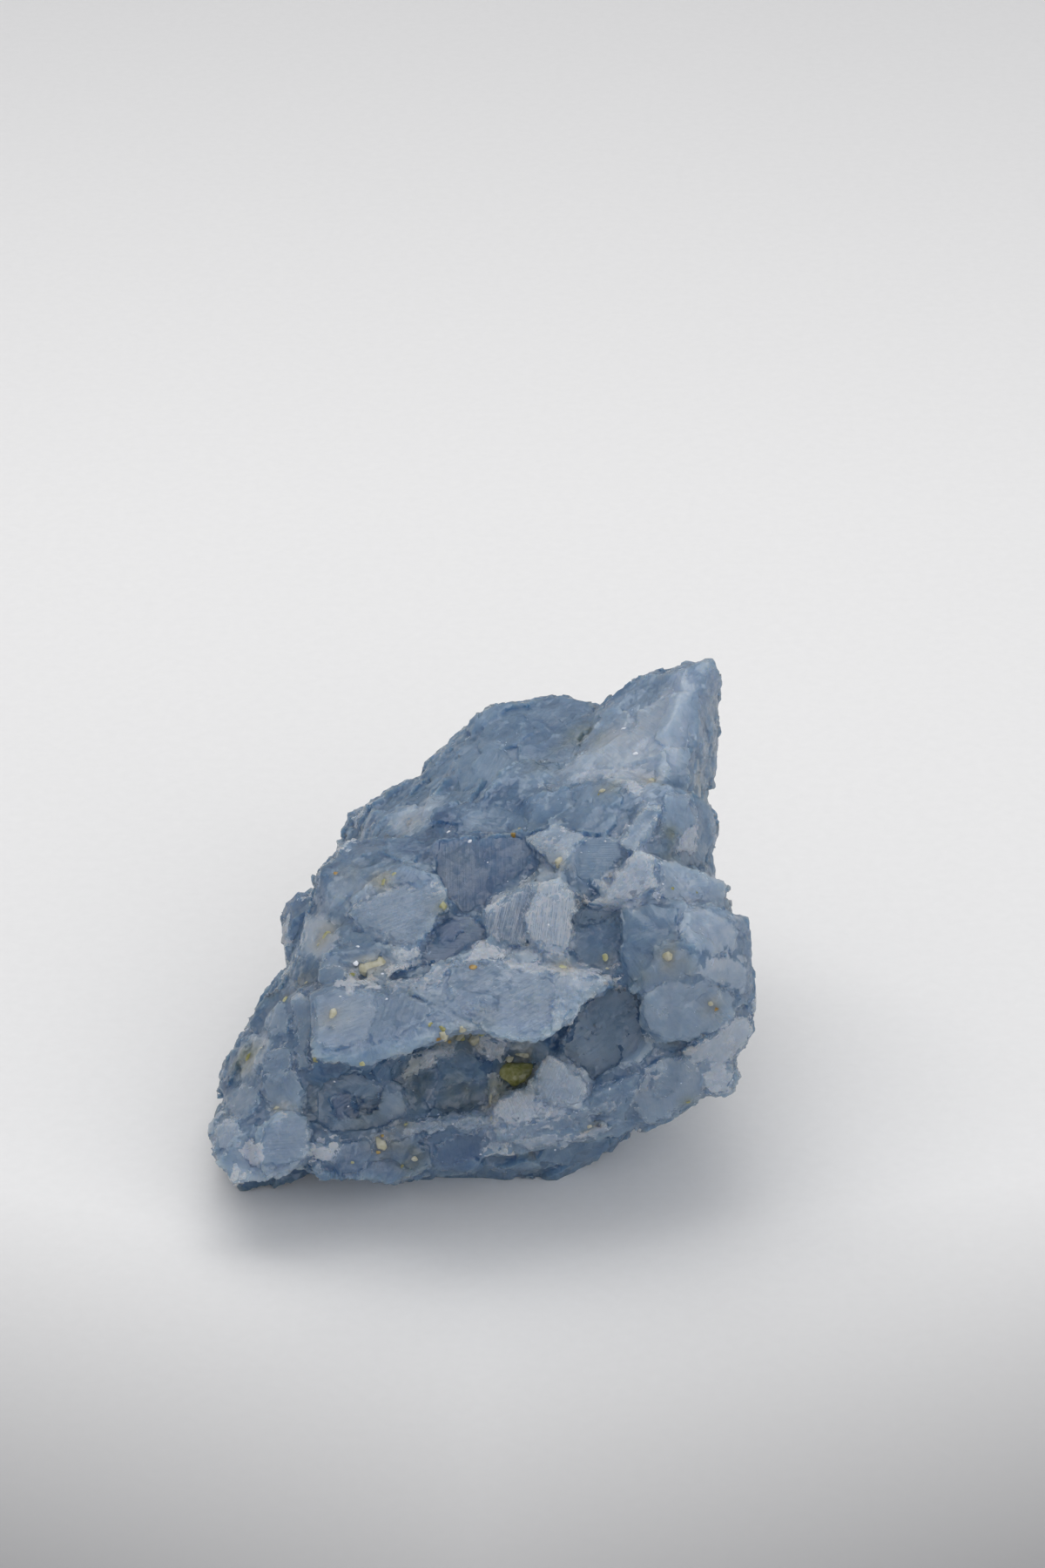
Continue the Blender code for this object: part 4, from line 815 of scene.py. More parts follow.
def build_field():
    lo, hi = np.array(CAD_BOX[0]) * 1e3, np.array(CAD_BOX[1]) * 1e3
    field = Field(lo, hi, STEP)
    info = {}                # identity -> (tone, frost, n, u, v)
    blocks = []
    key = 0
    for name, rings in RINGS:
        key += 1
        pts = np.array([(x, y, z) for z, ring in rings for x, y in ring], float) + SHIFT
        blocks.append(Block(name, "c", 0.36, pts, (0, 0, 1), key))
    for name, kind, tone, outline, thick, narrow in GRAINS:
        key += 1
        pts, n = grain_points(outline, thick, narrow, kind == "f")
        blocks.append(Block(name, kind, tone, pts, n, key))
    heart = np.array([0.0, 2.0, 15.0])
    for name, centre, edges, angles in RHOMBS:
        key += 1
        pts, faces = rhomb_points(centre, edges, angles)
        out = pts.mean(0) - heart
        out /= np.linalg.norm(out)
        n = max(faces, key=lambda f: abs(f @ out))
        n = n if n @ out > 0 else -n
        tone = 0.30 + 0.22 * random.Random(name).random()
        blocks.append(Block(name, "c" if name.startswith("inner") else "r", tone, pts, n, key))

    kinds = {}
    for b in blocks:
        kinds[b.key] = b.kind
        win = field.window(b.lo - 1.6, b.hi + 1.6)
        p = field.points(win)
        val = b.plain(p)
        band = np.abs(val) < 1.2
        q = p[band]
        if b.kind == "f":
            val[band] = b.layered(q, 0.12)
        elif b.kind == "d":
            val[band] = b.layered(q, 0.16)
        elif b.kind == "r":
            val[band] = b.layered(q, 0.14) + smooth_noise(q, 2.6, b.key) * 0.12
        else:
            val[band] += smooth_noise(q, 1.3, b.key) * 0.04 + smooth_noise(q, 3.4, b.key + 50) * 0.12
        field.put(win, val, b.key)
        info[b.key] = (b.tone, 0.0, b.n, b.u, b.v)
    close_gaps(field, 1.15, 0.06)

    # cleavage facets: cells round scattered seeds, each flattened to its own plane
    cell = 3.5
    rng = np.random.RandomState(7)
    span = np.ceil((hi - lo + 6) / cell).astype(int)
    grid = np.stack(np.meshgrid(*[np.arange(s) for s in span], indexing="ij"), -1).reshape(-1, 3)
    seeds = lo - 3 + (grid + rng.uniform(0.05, 0.95, grid.shape)) * cell
    weight = rng.uniform(-3.0, 3.0, len(seeds)).astype(np.float32)
    F0 = np.clip(field.F, -3.0, 3.0)
    g = gradient(field, seeds, 0.9, F0)
    gl = np.linalg.norm(g, axis=1, keepdims=True)
    d0 = field.sample(seeds.astype(np.float32), F0)
    near = (np.abs(d0) < 2.6) & (gl[:, 0] > 0.35)
    foot = seeds - g / np.maximum(gl, 1e-6) * d0[:, None]
    g = gradient(field, foot, 1.0, F0)
    gl = np.linalg.norm(g, axis=1, keepdims=True)
    near &= gl[:, 0] > 0.35
    foot = foot - g / np.maximum(gl, 1e-6) * field.sample(foot.astype(np.float32), F0)[:, None]
    normal = g / np.maximum(gl, 1e-6) + rng.normal(0, 0.11, g.shape)
    normal /= np.linalg.norm(normal, axis=1, keepdims=True)
    lift = rng.uniform(-0.09, 0.09, len(seeds))
    spin = rng.uniform(0, 6.28, len(seeds))
    UV = [frame_of(normal[i], spin[i]) for i in range(len(seeds))]
    seedU = np.array([t[1] for t in UV], np.float32)
    seedV = np.array([t[2] for t in UV], np.float32)
    seeds32, normal32 = seeds.astype(np.float32), normal.astype(np.float32)
    foot_w = ((foot * normal).sum(1) + lift).astype(np.float32)

    loose = np.array([kinds.get(k, "") in ("c", "s", "r", "d") for k in range(key + 1)])
    rough = np.array([{"c": 1.0, "r": 1.0, "s": 0.45, "d": 0.6}.get(kinds.get(k, ""), 0.0) for k in range(key + 1)], np.float32)
    band = (np.abs(field.F) < 0.9) & loose[np.clip(field.ID, 0, key)]
    where = np.argwhere(band).astype(np.int32)
    p = field.lo.astype(np.float32) + where.astype(np.float32) * np.float32(field.step)
    block_id = field.ID[band].astype(int)
    warp = np.stack([smooth_noise(p, 1.7, 11), smooth_noise(p, 1.7, 12), smooth_noise(p, 1.7, 13)], 1) * 0.25
    pw = p + warp
    lo3 = (lo - 3).astype(np.float32)
    ci = np.floor((pw - lo3) / cell).astype(np.int32)
    d1 = np.full(len(p), 1e9, np.float32)
    i1 = np.zeros(len(p), np.int32)
    for dx in (-1, 0, 1):
        for dy in (-1, 0, 1):
            for dz in (-1, 0, 1):
                c = np.clip(ci + (dx, dy, dz), 0, span - 1)
                idx = (c[:, 0] * span[1] + c[:, 1]) * span[2] + c[:, 2]
                diff = pw - seeds32[idx]
                d = (diff * diff).sum(1) - weight[idx]
                m = d < d1
                i1 = np.where(m, idx, i1)
                d1 = np.where(m, d, d1)
    f = field.F[band]
    plane = (p * normal32[i1]).sum(1) - foot_w[i1]
    reach = 0.34 * rough[block_id]
    val = np.where(near[i1], np.clip(plane, f - reach, f + reach), f)
    field.F[band] = val
    field.ID[band] = np.where(near[i1], 1000 + i1, block_id)
    for u in np.unique(i1[near[i1]]):
        b = block_id[np.argmax(i1 == u)]
        tone = info[int(b)][0] + float(np.clip(rng.normal(0, 0.06), -0.12, 0.12))
        info[1000 + int(u)] = (float(np.clip(tone, 0.05, 0.9)), 0.0, normal32[u], seedU[u], seedV[u])
    return field, info


def add_patches(field, info):
    marks = []
    for i, (name, tone, frost, lift, tilt, outline) in enumerate(PATCHES):
        P = np.array(outline, float)
        inner = P.mean(0) + (P - P.mean(0)) * 0.75
        pts = []
        for c, r in list(inner) + [P.mean(0)]:
            d = march(field, c, r)
            if d is not None:
                pts.append(lay(c, r, d))
        if len(pts) < 4:
            continue
        pts = np.array(pts)
        dep = project(pts)[2]
        keep = np.abs(dep - np.median(dep)) < 2.0
        pts = pts[keep] if keep.sum() >= 4 else pts
        c, n = fit_plane(pts)
        view = EYE - c
        view /= np.linalg.norm(view)
        if n @ view < 0.45:                       # too edge-on: lean it to the eye
            n = n + view * (0.6 - n @ view)
            n /= np.linalg.norm(n)
        n = n + EX * tilt[0] + UP * tilt[1]
        n /= np.linalg.norm(n)
        c = c + n * (lift * 0.4)
        x, y = P[:, 0], P[:, 1]
        area = abs((x * np.roll(y, -1) - y * np.roll(x, -1)).sum()) * 0.5 * UNIT * UNIT
        torn = jagged(outline, 60 + i, 7.0, 2.8 if frost > 0.15 else 1.8)
        mark = Mark(2000 + i, tone, frost, c, n, i * 0.9 + 0.4, torn, True, min(0.16, 0.07 * math.sqrt(area)),
                    1.0 if name.startswith("fibre") else 0.0, 0.32)
        # far from the plane that is seen sharply, the facets blend into each other
        mark.soft = float(np.clip((abs(float(np.median(dep)) - 1.5) - 3.0) / 6.0, 0.0, 1.0))
        if mark.soft < 0.5:
            mark.apply(field, info, 1.4, lift < -0.1)
        marks.append(mark)
    return sorted(marks, key=lambda k: -k.soft)


def shell_points(field, count, rng):
    """Random points on the surface, with their slopes."""
    S = field.F < 0
    shell = np.zeros(field.shape, bool)
    shell[1:-1, 1:-1, 1:-1] = S[1:-1, 1:-1, 1:-1] & ~(S[2:, 1:-1, 1:-1] & S[:-2, 1:-1, 1:-1] & S[1:-1, 2:, 1:-1]
                                                      & S[1:-1, :-2, 1:-1] & S[1:-1, 1:-1, 2:] & S[1:-1, 1:-1, :-2])
    cells = np.argwhere(shell)
    cells = cells[cells[:, 2] * field.step + field.lo[2] > 1.0]
    pick = cells[rng.choice(len(cells), size=min(count, len(cells)), replace=False)]
    P = field.lo + pick * field.step
    g = gradient(field, P, 0.5)
    gl = np.linalg.norm(g, axis=1)
    ok = gl > 0.4
    P, g, pick = P[ok], g[ok] / gl[ok][:, None], pick[ok]
    P = P - g * field.sample(P.astype(np.float32))[:, None]
    return P, g, field.ID[pick[:, 0], pick[:, 1], pick[:, 2]].astype(int)


def torn_outline(rng, ra, rb):
    """Irregular outline with straight, cleavage-like sides."""
    k = rng.randint(6, 10)
    a = np.sort(rng.uniform(0, 2 * math.pi, k))
    r = rng.uniform(0.6, 1.1, k)
    return [(float(ra * r[i] * math.cos(a[i])), float(rb * r[i] * math.sin(a[i]))) for i in range(k)]


def add_flakes(field, info, first, want, far):
    """Torn flakes over the surface; far keeps them off what the front view shows."""
    rng = np.random.RandomState(first)
    P, G, ids = shell_points(field, want * 14, rng)
    marks, used = [], []
    for c, n, ident in zip(P, G, ids):
        if len(marks) >= want:
            break
        if ident >= 2000 or ident not in info:
            continue
        view = EYE - c
        view /= np.linalg.norm(view)
        if far:
            shown = n @ view > 0.1
            if shown:
                ray = c + n * 0.5 + view * np.arange(0.5, 30.0, 0.5)[:, None]
                shown = not (field.sample(ray.astype(np.float32)) < -0.1).any()
            if shown:
                continue
            size = rng.uniform(0.9, 2.6)
            gap = 2.2 + size
        else:
            size = rng.uniform(0.30, 0.85)
            gap = 1.0
        if used and (np.linalg.norm(np.array(used) - c, axis=1) < gap).any():
            continue
        used.append(c)
        tone0 = info[ident][0]
        pale = rng.rand()
        if far:
            tone, frost = tone0 + rng.uniform(-0.16, 0.08), 0.0
            if pale > 0.35:
                tone, frost = tone0 + rng.uniform(0.15, 0.48), rng.uniform(0.1, 0.9) * (1.0 if pale > 0.65 else 0.4)
        else:
            tone, frost = tone0 + rng.uniform(-0.07, 0.12), rng.uniform(0.1, 0.4) if pale > 0.6 else 0.0
        cut = (not far and pale < 0.25) or (far and pale < 0.12)
        lift = rng.uniform(0.04, 0.12) * (-1.5 if cut else 1.0)
        nn = n + rng.normal(0, 0.06, 3)
        nn /= np.linalg.norm(nn)
        outline = torn_outline(rng, size * rng.uniform(0.9, 1.7), size * rng.uniform(0.6, 1.0))
        mark = Mark(first + len(marks), float(np.clip(tone, 0.03, 0.95)), float(frost), c + nn * lift, nn, rng.uniform(0, 6.28), outline, False,
                    0.18 if far else 0.12)
        if not far:
            mark.soft = float(np.clip((abs(float(project(c)[2]) - 1.5) - 3.0) / 6.0, 0.0, 0.9))
        if mark.soft < 0.5:
            mark.apply(field, info, 0.9, cut)
        marks.append(mark)
    return marks


def well_joined(field):
    """Fills in where two solid grid points touch only across a diagonal."""
    F = field.F
    for _ in range(12):
        S = F < 0
        found = 0
        for axis in range(3):
            b1, b2 = (axis + 1) % 3, (axis + 2) % 3

            def part(a, b):
                sl = [slice(None)] * 3
                sl[b1] = slice(a, F.shape[b1] - 1 + a)
                sl[b2] = slice(b, F.shape[b2] - 1 + b)
                return S[tuple(sl)]

            s00, s10, s01, s11 = part(0, 0), part(1, 0), part(0, 1), part(1, 1)
            for bad, p, q in ((s00 & s11 & ~s10 & ~s01, (1, 0), (0, 1)), (s10 & s01 & ~s00 & ~s11, (0, 0), (1, 1))):
                where = np.argwhere(bad)
                if not len(where):
                    continue
                found += len(where)
                at_p, at_q = where.copy(), where.copy()
                at_p[:, b1] += p[0]
                at_p[:, b2] += p[1]
                at_q[:, b1] += q[0]
                at_q[:, b2] += q[1]
                pick = np.where((F[tuple(at_p.T)] <= F[tuple(at_q.T)])[:, None], at_p, at_q)
                F[tuple(pick.T)] = -0.02
        if not found:
            break


def stone_object():
    field, info = build_field()
    tear_rims(field)
    marks = add_flakes(field, info, 3000, 260, False)
    marks += add_flakes(field, info, 4000, 115, True)
    marks += add_patches(field, info)
    # nothing under the resting face
    z = field.lo[2] + field.step * np.arange(field.shape[2])
    field.F = np.maximum(field.F, (-z)[None, None, :].astype(np.float32))
    # nor past the CAD model's box
    for axis in range(3):
        c = field.lo[axis] + field.step * np.arange(field.shape[axis])
        past = np.maximum(c - (CAD_BOX[1][axis] * 1e3 - 0.03), (CAD_BOX[0][axis] * 1e3 + 0.03) - c) if axis < 2 else c - (CAD_BOX[1][2] * 1e3 - 0.03)
        shape = [1, 1, 1]
        shape[axis] = -1
        field.F = np.maximum(field.F, past.reshape(shape).astype(np.float32))
    well_joined(field)
    field.F[[0, -1]] = 4.0
    field.F[:, [0, -1]] = 4.0
    field.F[:, :, [0, -1]] = 4.0
    verts, quads = surface_mesh(field)
    lo, hi = np.array(CAD_BOX[0]) * 1e3 + 0.02, np.array(CAD_BOX[1]) * 1e3 - 0.02
    lo[2] = 0.001
    verts = np.clip(verts, lo, hi)
    me = bpy.data.meshes.new("calcite_stone")
    me.vertices.add(len(verts))
    me.vertices.foreach_set("co", (verts * 0.001).astype(np.float32).ravel())
    me.loops.add(quads.size)
    me.loops.foreach_set("vertex_index", quads.astype(np.int32).ravel())
    me.polygons.add(len(quads))
    me.polygons.foreach_set("loop_start", np.arange(0, quads.size, 4, dtype=np.int32))
    me.polygons.foreach_set("loop_total", np.full(len(quads), 4, np.int32))
    me.update(calc_edges=True)
    me.validate()
    ob = bpy.data.objects.new("calcite_stone", me)
    bpy.context.scene.collection.objects.link(ob)
    tris = len(quads) * 2
    # loose crumbs and closed hollows left by the cuts are dropped
    drop_crumbs(ob.data)
    verts = np.zeros(len(ob.data.vertices) * 3, np.float32)
    ob.data.vertices.foreach_get("co", verts)
    verts = verts.reshape(-1, 3) * 1e3
    tris = len(ob.data.polygons) * 2
    print("field", field.shape, "quads", len(quads), "kept", len(ob.data.polygons))
    if tris > MAX_TRIS:
        # what the front view doesn't show is thinned first
        col, row, dep = project(verts.astype(float))
        cell_c, cell_r = (col / 5).astype(int), (row / 5).astype(int)
        cell_c -= cell_c.min()
        cell_r -= cell_r.min()
        bins = cell_c * (cell_r.max() + 1) + cell_r
        nearest = np.full(bins.max() + 1, 1e9)
        np.minimum.at(nearest, bins, dep)
        hidden = dep > nearest[bins] + 1.1
        group = ob.vertex_groups.new(name="hidden")
        group.add(np.nonzero(hidden)[0].tolist(), 0.60, "REPLACE")
        sharp = ~hidden & (np.abs(dep - 1.5) < 6.0)
        group.add(np.nonzero(~hidden & ~sharp)[0].tolist(), 0.35, "REPLACE")
        group.add(np.nonzero(sharp)[0].tolist(), 0.18, "REPLACE")
        print("shown points", int((~hidden).sum()), "of", len(verts))
        mod = ob.modifiers.new("thin", "DECIMATE")
        mod.vertex_group = "hidden"
        mod.ratio = MAX_TRIS / tris
        mod.use_collapse_triangulate = True
        dg = bpy.context.evaluated_depsgraph_get()
        thin = bpy.data.meshes.new_from_object(ob.evaluated_get(dg))
        ob.modifiers.clear()
        old, ob.data = ob.data, thin
        bpy.data.meshes.remove(old)
        ob.data.name = "calcite_stone"
    drop_crumbs(ob.data)
    # thinning may move a point a little past the box
    co = np.zeros(len(ob.data.vertices) * 3, np.float32)
    ob.data.vertices.foreach_get("co", co)
    co = np.clip(co.reshape(-1, 3), (lo * 0.001).astype(np.float32), (hi * 0.001).astype(np.float32))
    ob.data.vertices.foreach_set("co", co.ravel())
    ob.data.update()
    paint_grains(ob, field, info, marks)
    return ob, field, info


def drop_crumbs(me):
    n = len(me.vertices)
    ev = np.zeros(len(me.edges) * 2, np.int32)
    me.edges.foreach_get("vertices", ev)
    ev = ev.reshape(-1, 2)
    label = np.arange(n)
    while True:
        m = np.minimum(label[ev[:, 0]], label[ev[:, 1]])
        new = label.copy()
        np.minimum.at(new, ev[:, 0], m)
        np.minimum.at(new, ev[:, 1], m)
        new = new[new]
        if (new == label).all():
            break
        label = new
    ids, counts = np.unique(label, return_counts=True)
    keep = ids[np.argmax(counts)]
    bm = bmesh.new()
    bm.from_mesh(me)
    bm.verts.ensure_lookup_table()
    bmesh.ops.delete(bm, geom=[bm.verts[i] for i in np.nonzero(label != keep)[0]], context="VERTS")
    bm.to_mesh(me)
    bm.free()


def paint_grains(ob, field, info, marks):
    """Each point remembers its grain, and how far it is from the rim of the nearest flake."""
    me = ob.data
    nv, nf, nl = len(me.vertices), len(me.polygons), len(me.loops)
    top = max(info) + 1
    tone = np.full(top, 0.36, np.float32)
    frost = np.zeros(top, np.float32)
    n = np.tile(np.array([0, 0, 1.0], np.float32), (top, 1))
    u = np.tile(np.array([1.0, 0, 0], np.float32), (top, 1))
    v = np.tile(np.array([0, 1.0, 0], np.float32), (top, 1))
    for k, (a, b, c, d, e) in info.items():
        tone[k], frost[k], n[k], u[k], v[k] = a, b, c, d, e

    def grain_at(P, N):
        q = P - N * 0.15
        g = np.clip(np.round((q - field.lo) / field.step).astype(int), 0, np.array(field.shape) - 1)
        return np.clip(field.ID[g[:, 0], g[:, 1], g[:, 2]].astype(int), 0, top - 1)

    co = np.zeros(nv * 3, np.float32)
    me.vertices.foreach_get("co", co)
    co = co.reshape(-1, 3) * 1e3
    vn = np.zeros(nv * 3, np.float32)
    me.vertex_normals.foreach_get("vector", vn)
    vn = vn.reshape(-1, 3)
    vid = grain_at(co, vn)
    # the flakes' own lightness is laid over the grain's, so the grain keeps its own here
    base = vid.copy()
    t = np.where(base < 2000, tone[base], 0).astype(np.float32)
    w = (base < 2000).astype(np.float32)
    ev = np.zeros(len(me.edges) * 2, np.int32)
    me.edges.foreach_get("vertices", ev)
    a_, b_ = ev[0::2], ev[1::2]
    for _ in range(14):
        # spreads the grain's lightness under the flakes
        ts = np.bincount(a_, t[b_] * w[b_], nv) + np.bincount(b_, t[a_] * w[a_], nv)
        ws = np.bincount(a_, w[b_], nv) + np.bincount(b_, w[a_], nv)
        grow = (w == 0) & (ws > 0)
        t[grow] = (ts / np.maximum(ws, 1e-6))[grow]
        w[grow] = 1
    t[w == 0] = 0.36
    deg = np.bincount(a_, minlength=nv) + np.bincount(b_, minlength=nv)
    for _ in range(2):
        t = 0.5 * t + 0.5 * ((np.bincount(a_, t[b_], nv) + np.bincount(b_, t[a_], nv)) / np.maximum(deg, 1)).astype(np.float32)

    rim = np.full(nv, 2.0, np.float32)
    soft = np.zeros(nv, np.float32)
    mt = t.copy()
    mf = np.zeros(nv, np.float32)
    fib = np.zeros(nv, np.float32)
    high = np.zeros(nv, np.float32)
    for mark in marks:
        lo, hi = mark.rim.min(0) - 1.0, mark.rim.max(0) + 1.0
        k = np.nonzero(((co > lo) & (co < hi)).all(1))[0]
        if not len(k):
            continue
        # which way the nearest rim looks: 1 is a top edge, -1 a bottom edge; the material uses it for painted
        # highlights on top rims and painted shadows under bottom rims
        level, _ = mark.side(co[k], 0.0)
        above, _ = mark.side(co[k] + np.array([0, 0, 0.12], np.float32), 0.0)
        up = np.clip((above - level) / 0.12, -1, 1)
        s, wd = mark.side(co[k], 0.35 if mark.sight else 1.0)
        s = np.maximum(s, np.abs(wd) - 0.9)
        turn = (vn[k] @ mark.n) < -0.2
        s[turn] = 2.0
        use = (s < 0.03) | ((s < rim[k]) & (rim[k] > 0))
        kk = k[use]
        rim[kk] = s[use]
        high[kk] = up[use]
        mt[kk], mf[kk], fib[kk], soft[kk] = mark.tone, mark.frost, mark.fibre, mark.soft
    for name, val in (("tone", t), ("flake", rim), ("flake_tone", mt), ("flake_frost", mf), ("fibre", fib), ("flake_soft", soft),
                      ("flake_up", high)):
        a = me.attributes.new(name, "FLOAT", "POINT")
        a.data.foreach_set("value", val.astype(np.float32))

    cen = np.zeros(nf * 3, np.float32)
    me.polygons.foreach_get("center", cen)
    nor = np.zeros(nf * 3, np.float32)
    me.polygons.foreach_get("normal", nor)
    ids = grain_at(cen.reshape(-1, 3) * 1e3, nor.reshape(-1, 3))
    seed = hash01(ids, np.int32(5))
    a = me.attributes.new("seed", "FLOAT", "FACE")
    a.data.foreach_set("value", seed)
    lv = np.zeros(nl, np.int32)
    me.loops.foreach_get("vertex_index", lv)
    tot = np.zeros(nf, np.int32)
    me.polygons.foreach_get("loop_total", tot)
    lf = np.repeat(np.arange(nf), tot)
    P, K = co[lv], ids[lf]
    gp = np.stack([(P * u[K]).sum(1) + seed[lf] * 37, (P * v[K]).sum(1), (P * n[K]).sum(1)], 1).astype(np.float32)
    a = me.attributes.new("along", "FLOAT_VECTOR", "CORNER")
    a.data.foreach_set("vector", gp.ravel())
    me.shade_smooth()
    me.set_sharp_from_angle(angle=math.radians(30))


# ---- grains of other minerals: kind, column, row, width, height, turn ----------
# Widths and heights are in layout units; they sit where the line of sight meets
# the stone and are sunk into it.
INCLUSIONS = [
    ("olive", 593, 1232, 68, 40, 8), ("cream", 602, 1212, 36, 14, -8), ("cream", 585, 1216, 18, 12, 30), ("cream", 526, 1189, 22, 18, 20), ("olive", 508, 1182, 14, 14, 0), ("cream", 509, 1188, 16, 14, 80), ("rust", 517, 1196, 9, 8, 0), ("cream", 541, 1194, 22, 16, 30), ("cream", 531, 1182, 13, 10, 20), ("rust", 503, 1193, 12, 9, 0), ("olive", 552, 1188, 12, 10, 0),
    ("cream", 512, 1192, 11, 9, 60), ("olive", 531, 1193, 13, 10, 15), ("olive", 495, 1176, 9, 7, 15), ("cream", 541, 1187, 8, 7, 15),
    ("rust", 543, 1111, 13, 12, 0), ("cream", 428, 1109, 40, 34, 12), ("white", 409, 1105, 9, 8, 0), ("olive", 404, 1119, 10, 6, 10),
    ("yellow", 647, 1110, 15, 9, -10), ("yellow", 695, 1100, 12, 14, 0), ("cream", 697, 1112, 8, 6, 0), ("yellow", 509, 1040, 11, 15, 10),
    ("cream", 692, 908, 12, 11, 0), ("olive", 688, 912, 6, 5, 0), ("cream", 748, 896, 10, 14, -30), ("cream", 641, 990, 12, 18, -20),
    ("rust", 590, 959, 10, 9, 0), ("cream", 597, 951, 9, 7, 0), ("rust", 387, 1003, 11, 10, 0), ("yellow", 440, 1014, 24, 11, 38),
    ("yellow", 452, 1004, 11, 8, 38), ("yellow", 374, 1074, 22, 10, 52), ("cream", 366, 1084, 10, 8, 30), ("cream", 381, 1166, 14, 24, -18),
    ("cream", 768, 1098, 20, 26, -15), ("rust", 823, 1158, 9, 10, 0), ("cream", 816, 1152, 12, 9, 0), ("yellow", 362, 1218, 10, 9, 0),
    ("yellow", 416, 1221, 9, 7, 0), ("cream", 438, 1313, 18, 28, 15), ("rust", 439, 1304, 6, 6, 0), ("rust", 434, 1322, 9, 7, 0),
    ("olive", 461, 1337, 13, 13, 0), ("cream", 477, 1329, 12, 9, 0), ("yellow", 466, 1291, 10, 8, 0), ("cream", 563, 1262, 7, 22, 4),
    ("cream", 564, 1284, 6, 12, -6), ("yellow", 327, 1148, 10, 18, -25), ("cream", 318, 1272, 12, 11, 0), ("cream", 677, 1293, 10, 8, 0),
    ("white", 552, 1325, 5, 5, 0), ("white", 637, 1320, 5, 5, 0), ("white", 540, 966, 8, 6, 20), ("white", 515, 955, 8, 5, 20),
    ("white", 411, 1087, 7, 6, 0), ("white", 672, 965, 5, 4, 0), ("white", 695, 966, 5, 4, 0), ("white", 668, 979, 4, 4, 0),
    ("white", 757, 1030, 6, 5, 0), ("white", 761, 1015, 5, 4, 0), ("white", 391, 1144, 5, 4, 0), ("white", 444, 1147, 5, 5, 0),
    ("white", 449, 1242, 5, 4, 0), ("white", 400, 1270, 5, 4, 0), ("white", 730, 865, 9, 6, 20), ("white", 716, 836, 8, 6, 0),
    ("olive", 772, 1020, 6, 5, 0), ("olive", 800, 1025, 5, 5, 0), ("dark", 680, 1055, 4, 3, 0), ("olive", 790, 1265, 8, 7, 0),
    ("white", 439, 1118, 5, 4, 0), ("white", 560, 1212, 5, 4, 0), ("white", 604, 1236, 4, 4, 0), ("white", 588, 1302, 5, 4, 0),
    ("white", 700, 1250, 4, 4, 0), ("white", 474, 1252, 4, 3, 0), ("white", 384, 1242, 4, 4, 0), ("white", 520, 1290, 4, 3, 0),
    ("white", 630, 1062, 4, 4, 0), ("white", 583, 1012, 4, 4, 0), ("white", 722, 948, 4, 3, 0), ("white", 560, 990, 4, 3, 0),
    ("olive", 285, 1214, 12, 16, -30), ("cream", 300, 1203, 8, 7, 0), ("cream", 352, 1128, 9, 6, 0), ("yellow", 405, 1334, 8, 6, 0),
]

# Tints in the calcite itself: kind, column, row, reach (layout units), strength
TINTS = [
    ("olive", 665, 843, 30, 0.7), ("olive", 690, 850, 20, 0.5), ("olive", 700, 905, 22, 0.4), ("olive", 770, 955, 18, 0.7), ("olive", 768, 978, 16, 0.6),
    ("olive", 600, 1232, 40, 0.9), ("olive", 575, 1245, 30, 0.7), ("olive", 480, 1243, 34, 0.6), ("olive", 530, 1258, 40, 0.6), ("olive", 520, 1190, 30, 0.7),
    ("olive", 285, 1215, 28, 0.9), ("olive", 470, 1330, 24, 0.6), ("olive", 790, 1265, 18, 0.6), ("olive", 509, 1039, 16, 0.5), ("olive", 803, 898, 20, 0.6),
    ("cream", 420, 1108, 36, 0.5), ("cream", 566, 1262, 20, 1.0), ("cream", 604, 1208, 26, 0.9), ("cream", 540, 1200, 22, 0.6), ("cream", 436, 1010, 26, 0.7), ("cream", 374, 1074, 26, 0.7), ("cream", 640, 990, 22, 0.6),
    ("cream", 438, 1313, 26, 0.6), ("cream", 770, 1098, 30, 0.7), ("cream", 381, 1166, 24, 0.7), ("cream", 822, 1157, 18, 0.6), ("cream", 692, 905, 18, 0.5),
    ("cream", 647, 1110, 18, 0.6), ("cream", 695, 1102, 16, 0.5), ("cream", 326, 1148, 18, 0.6), ("cream", 466, 1291, 18, 0.5), ("cream", 322, 1272, 18, 0.5),
    ("cream", 748, 897, 18, 0.6), ("cream", 530, 1186, 20, 0.5), ("olive", 420, 1290, 24, 0.4), ("olive", 735, 1120, 18, 0.4), ("olive", 612, 880, 24, 0.35),
    ("cream", 350, 1128, 18, 0.5), ("olive", 355, 1118, 22, 0.4), ("olive", 560, 1170, 22, 0.35), ("cream", 400, 1000, 20, 0.4), ("olive", 500, 990, 22, 0.3),
]


def sight(tree, col, row):
    """Where the line of sight through a layout point meets the stone, in metres."""
    d = lay(col, row, 0.0) - EYE
    d = Vector(d).normalized()
    hit, n, _, _ = tree.ray_cast(Vector(EYE * 0.001), d)
    return (hit, n, d) if hit is not None else None


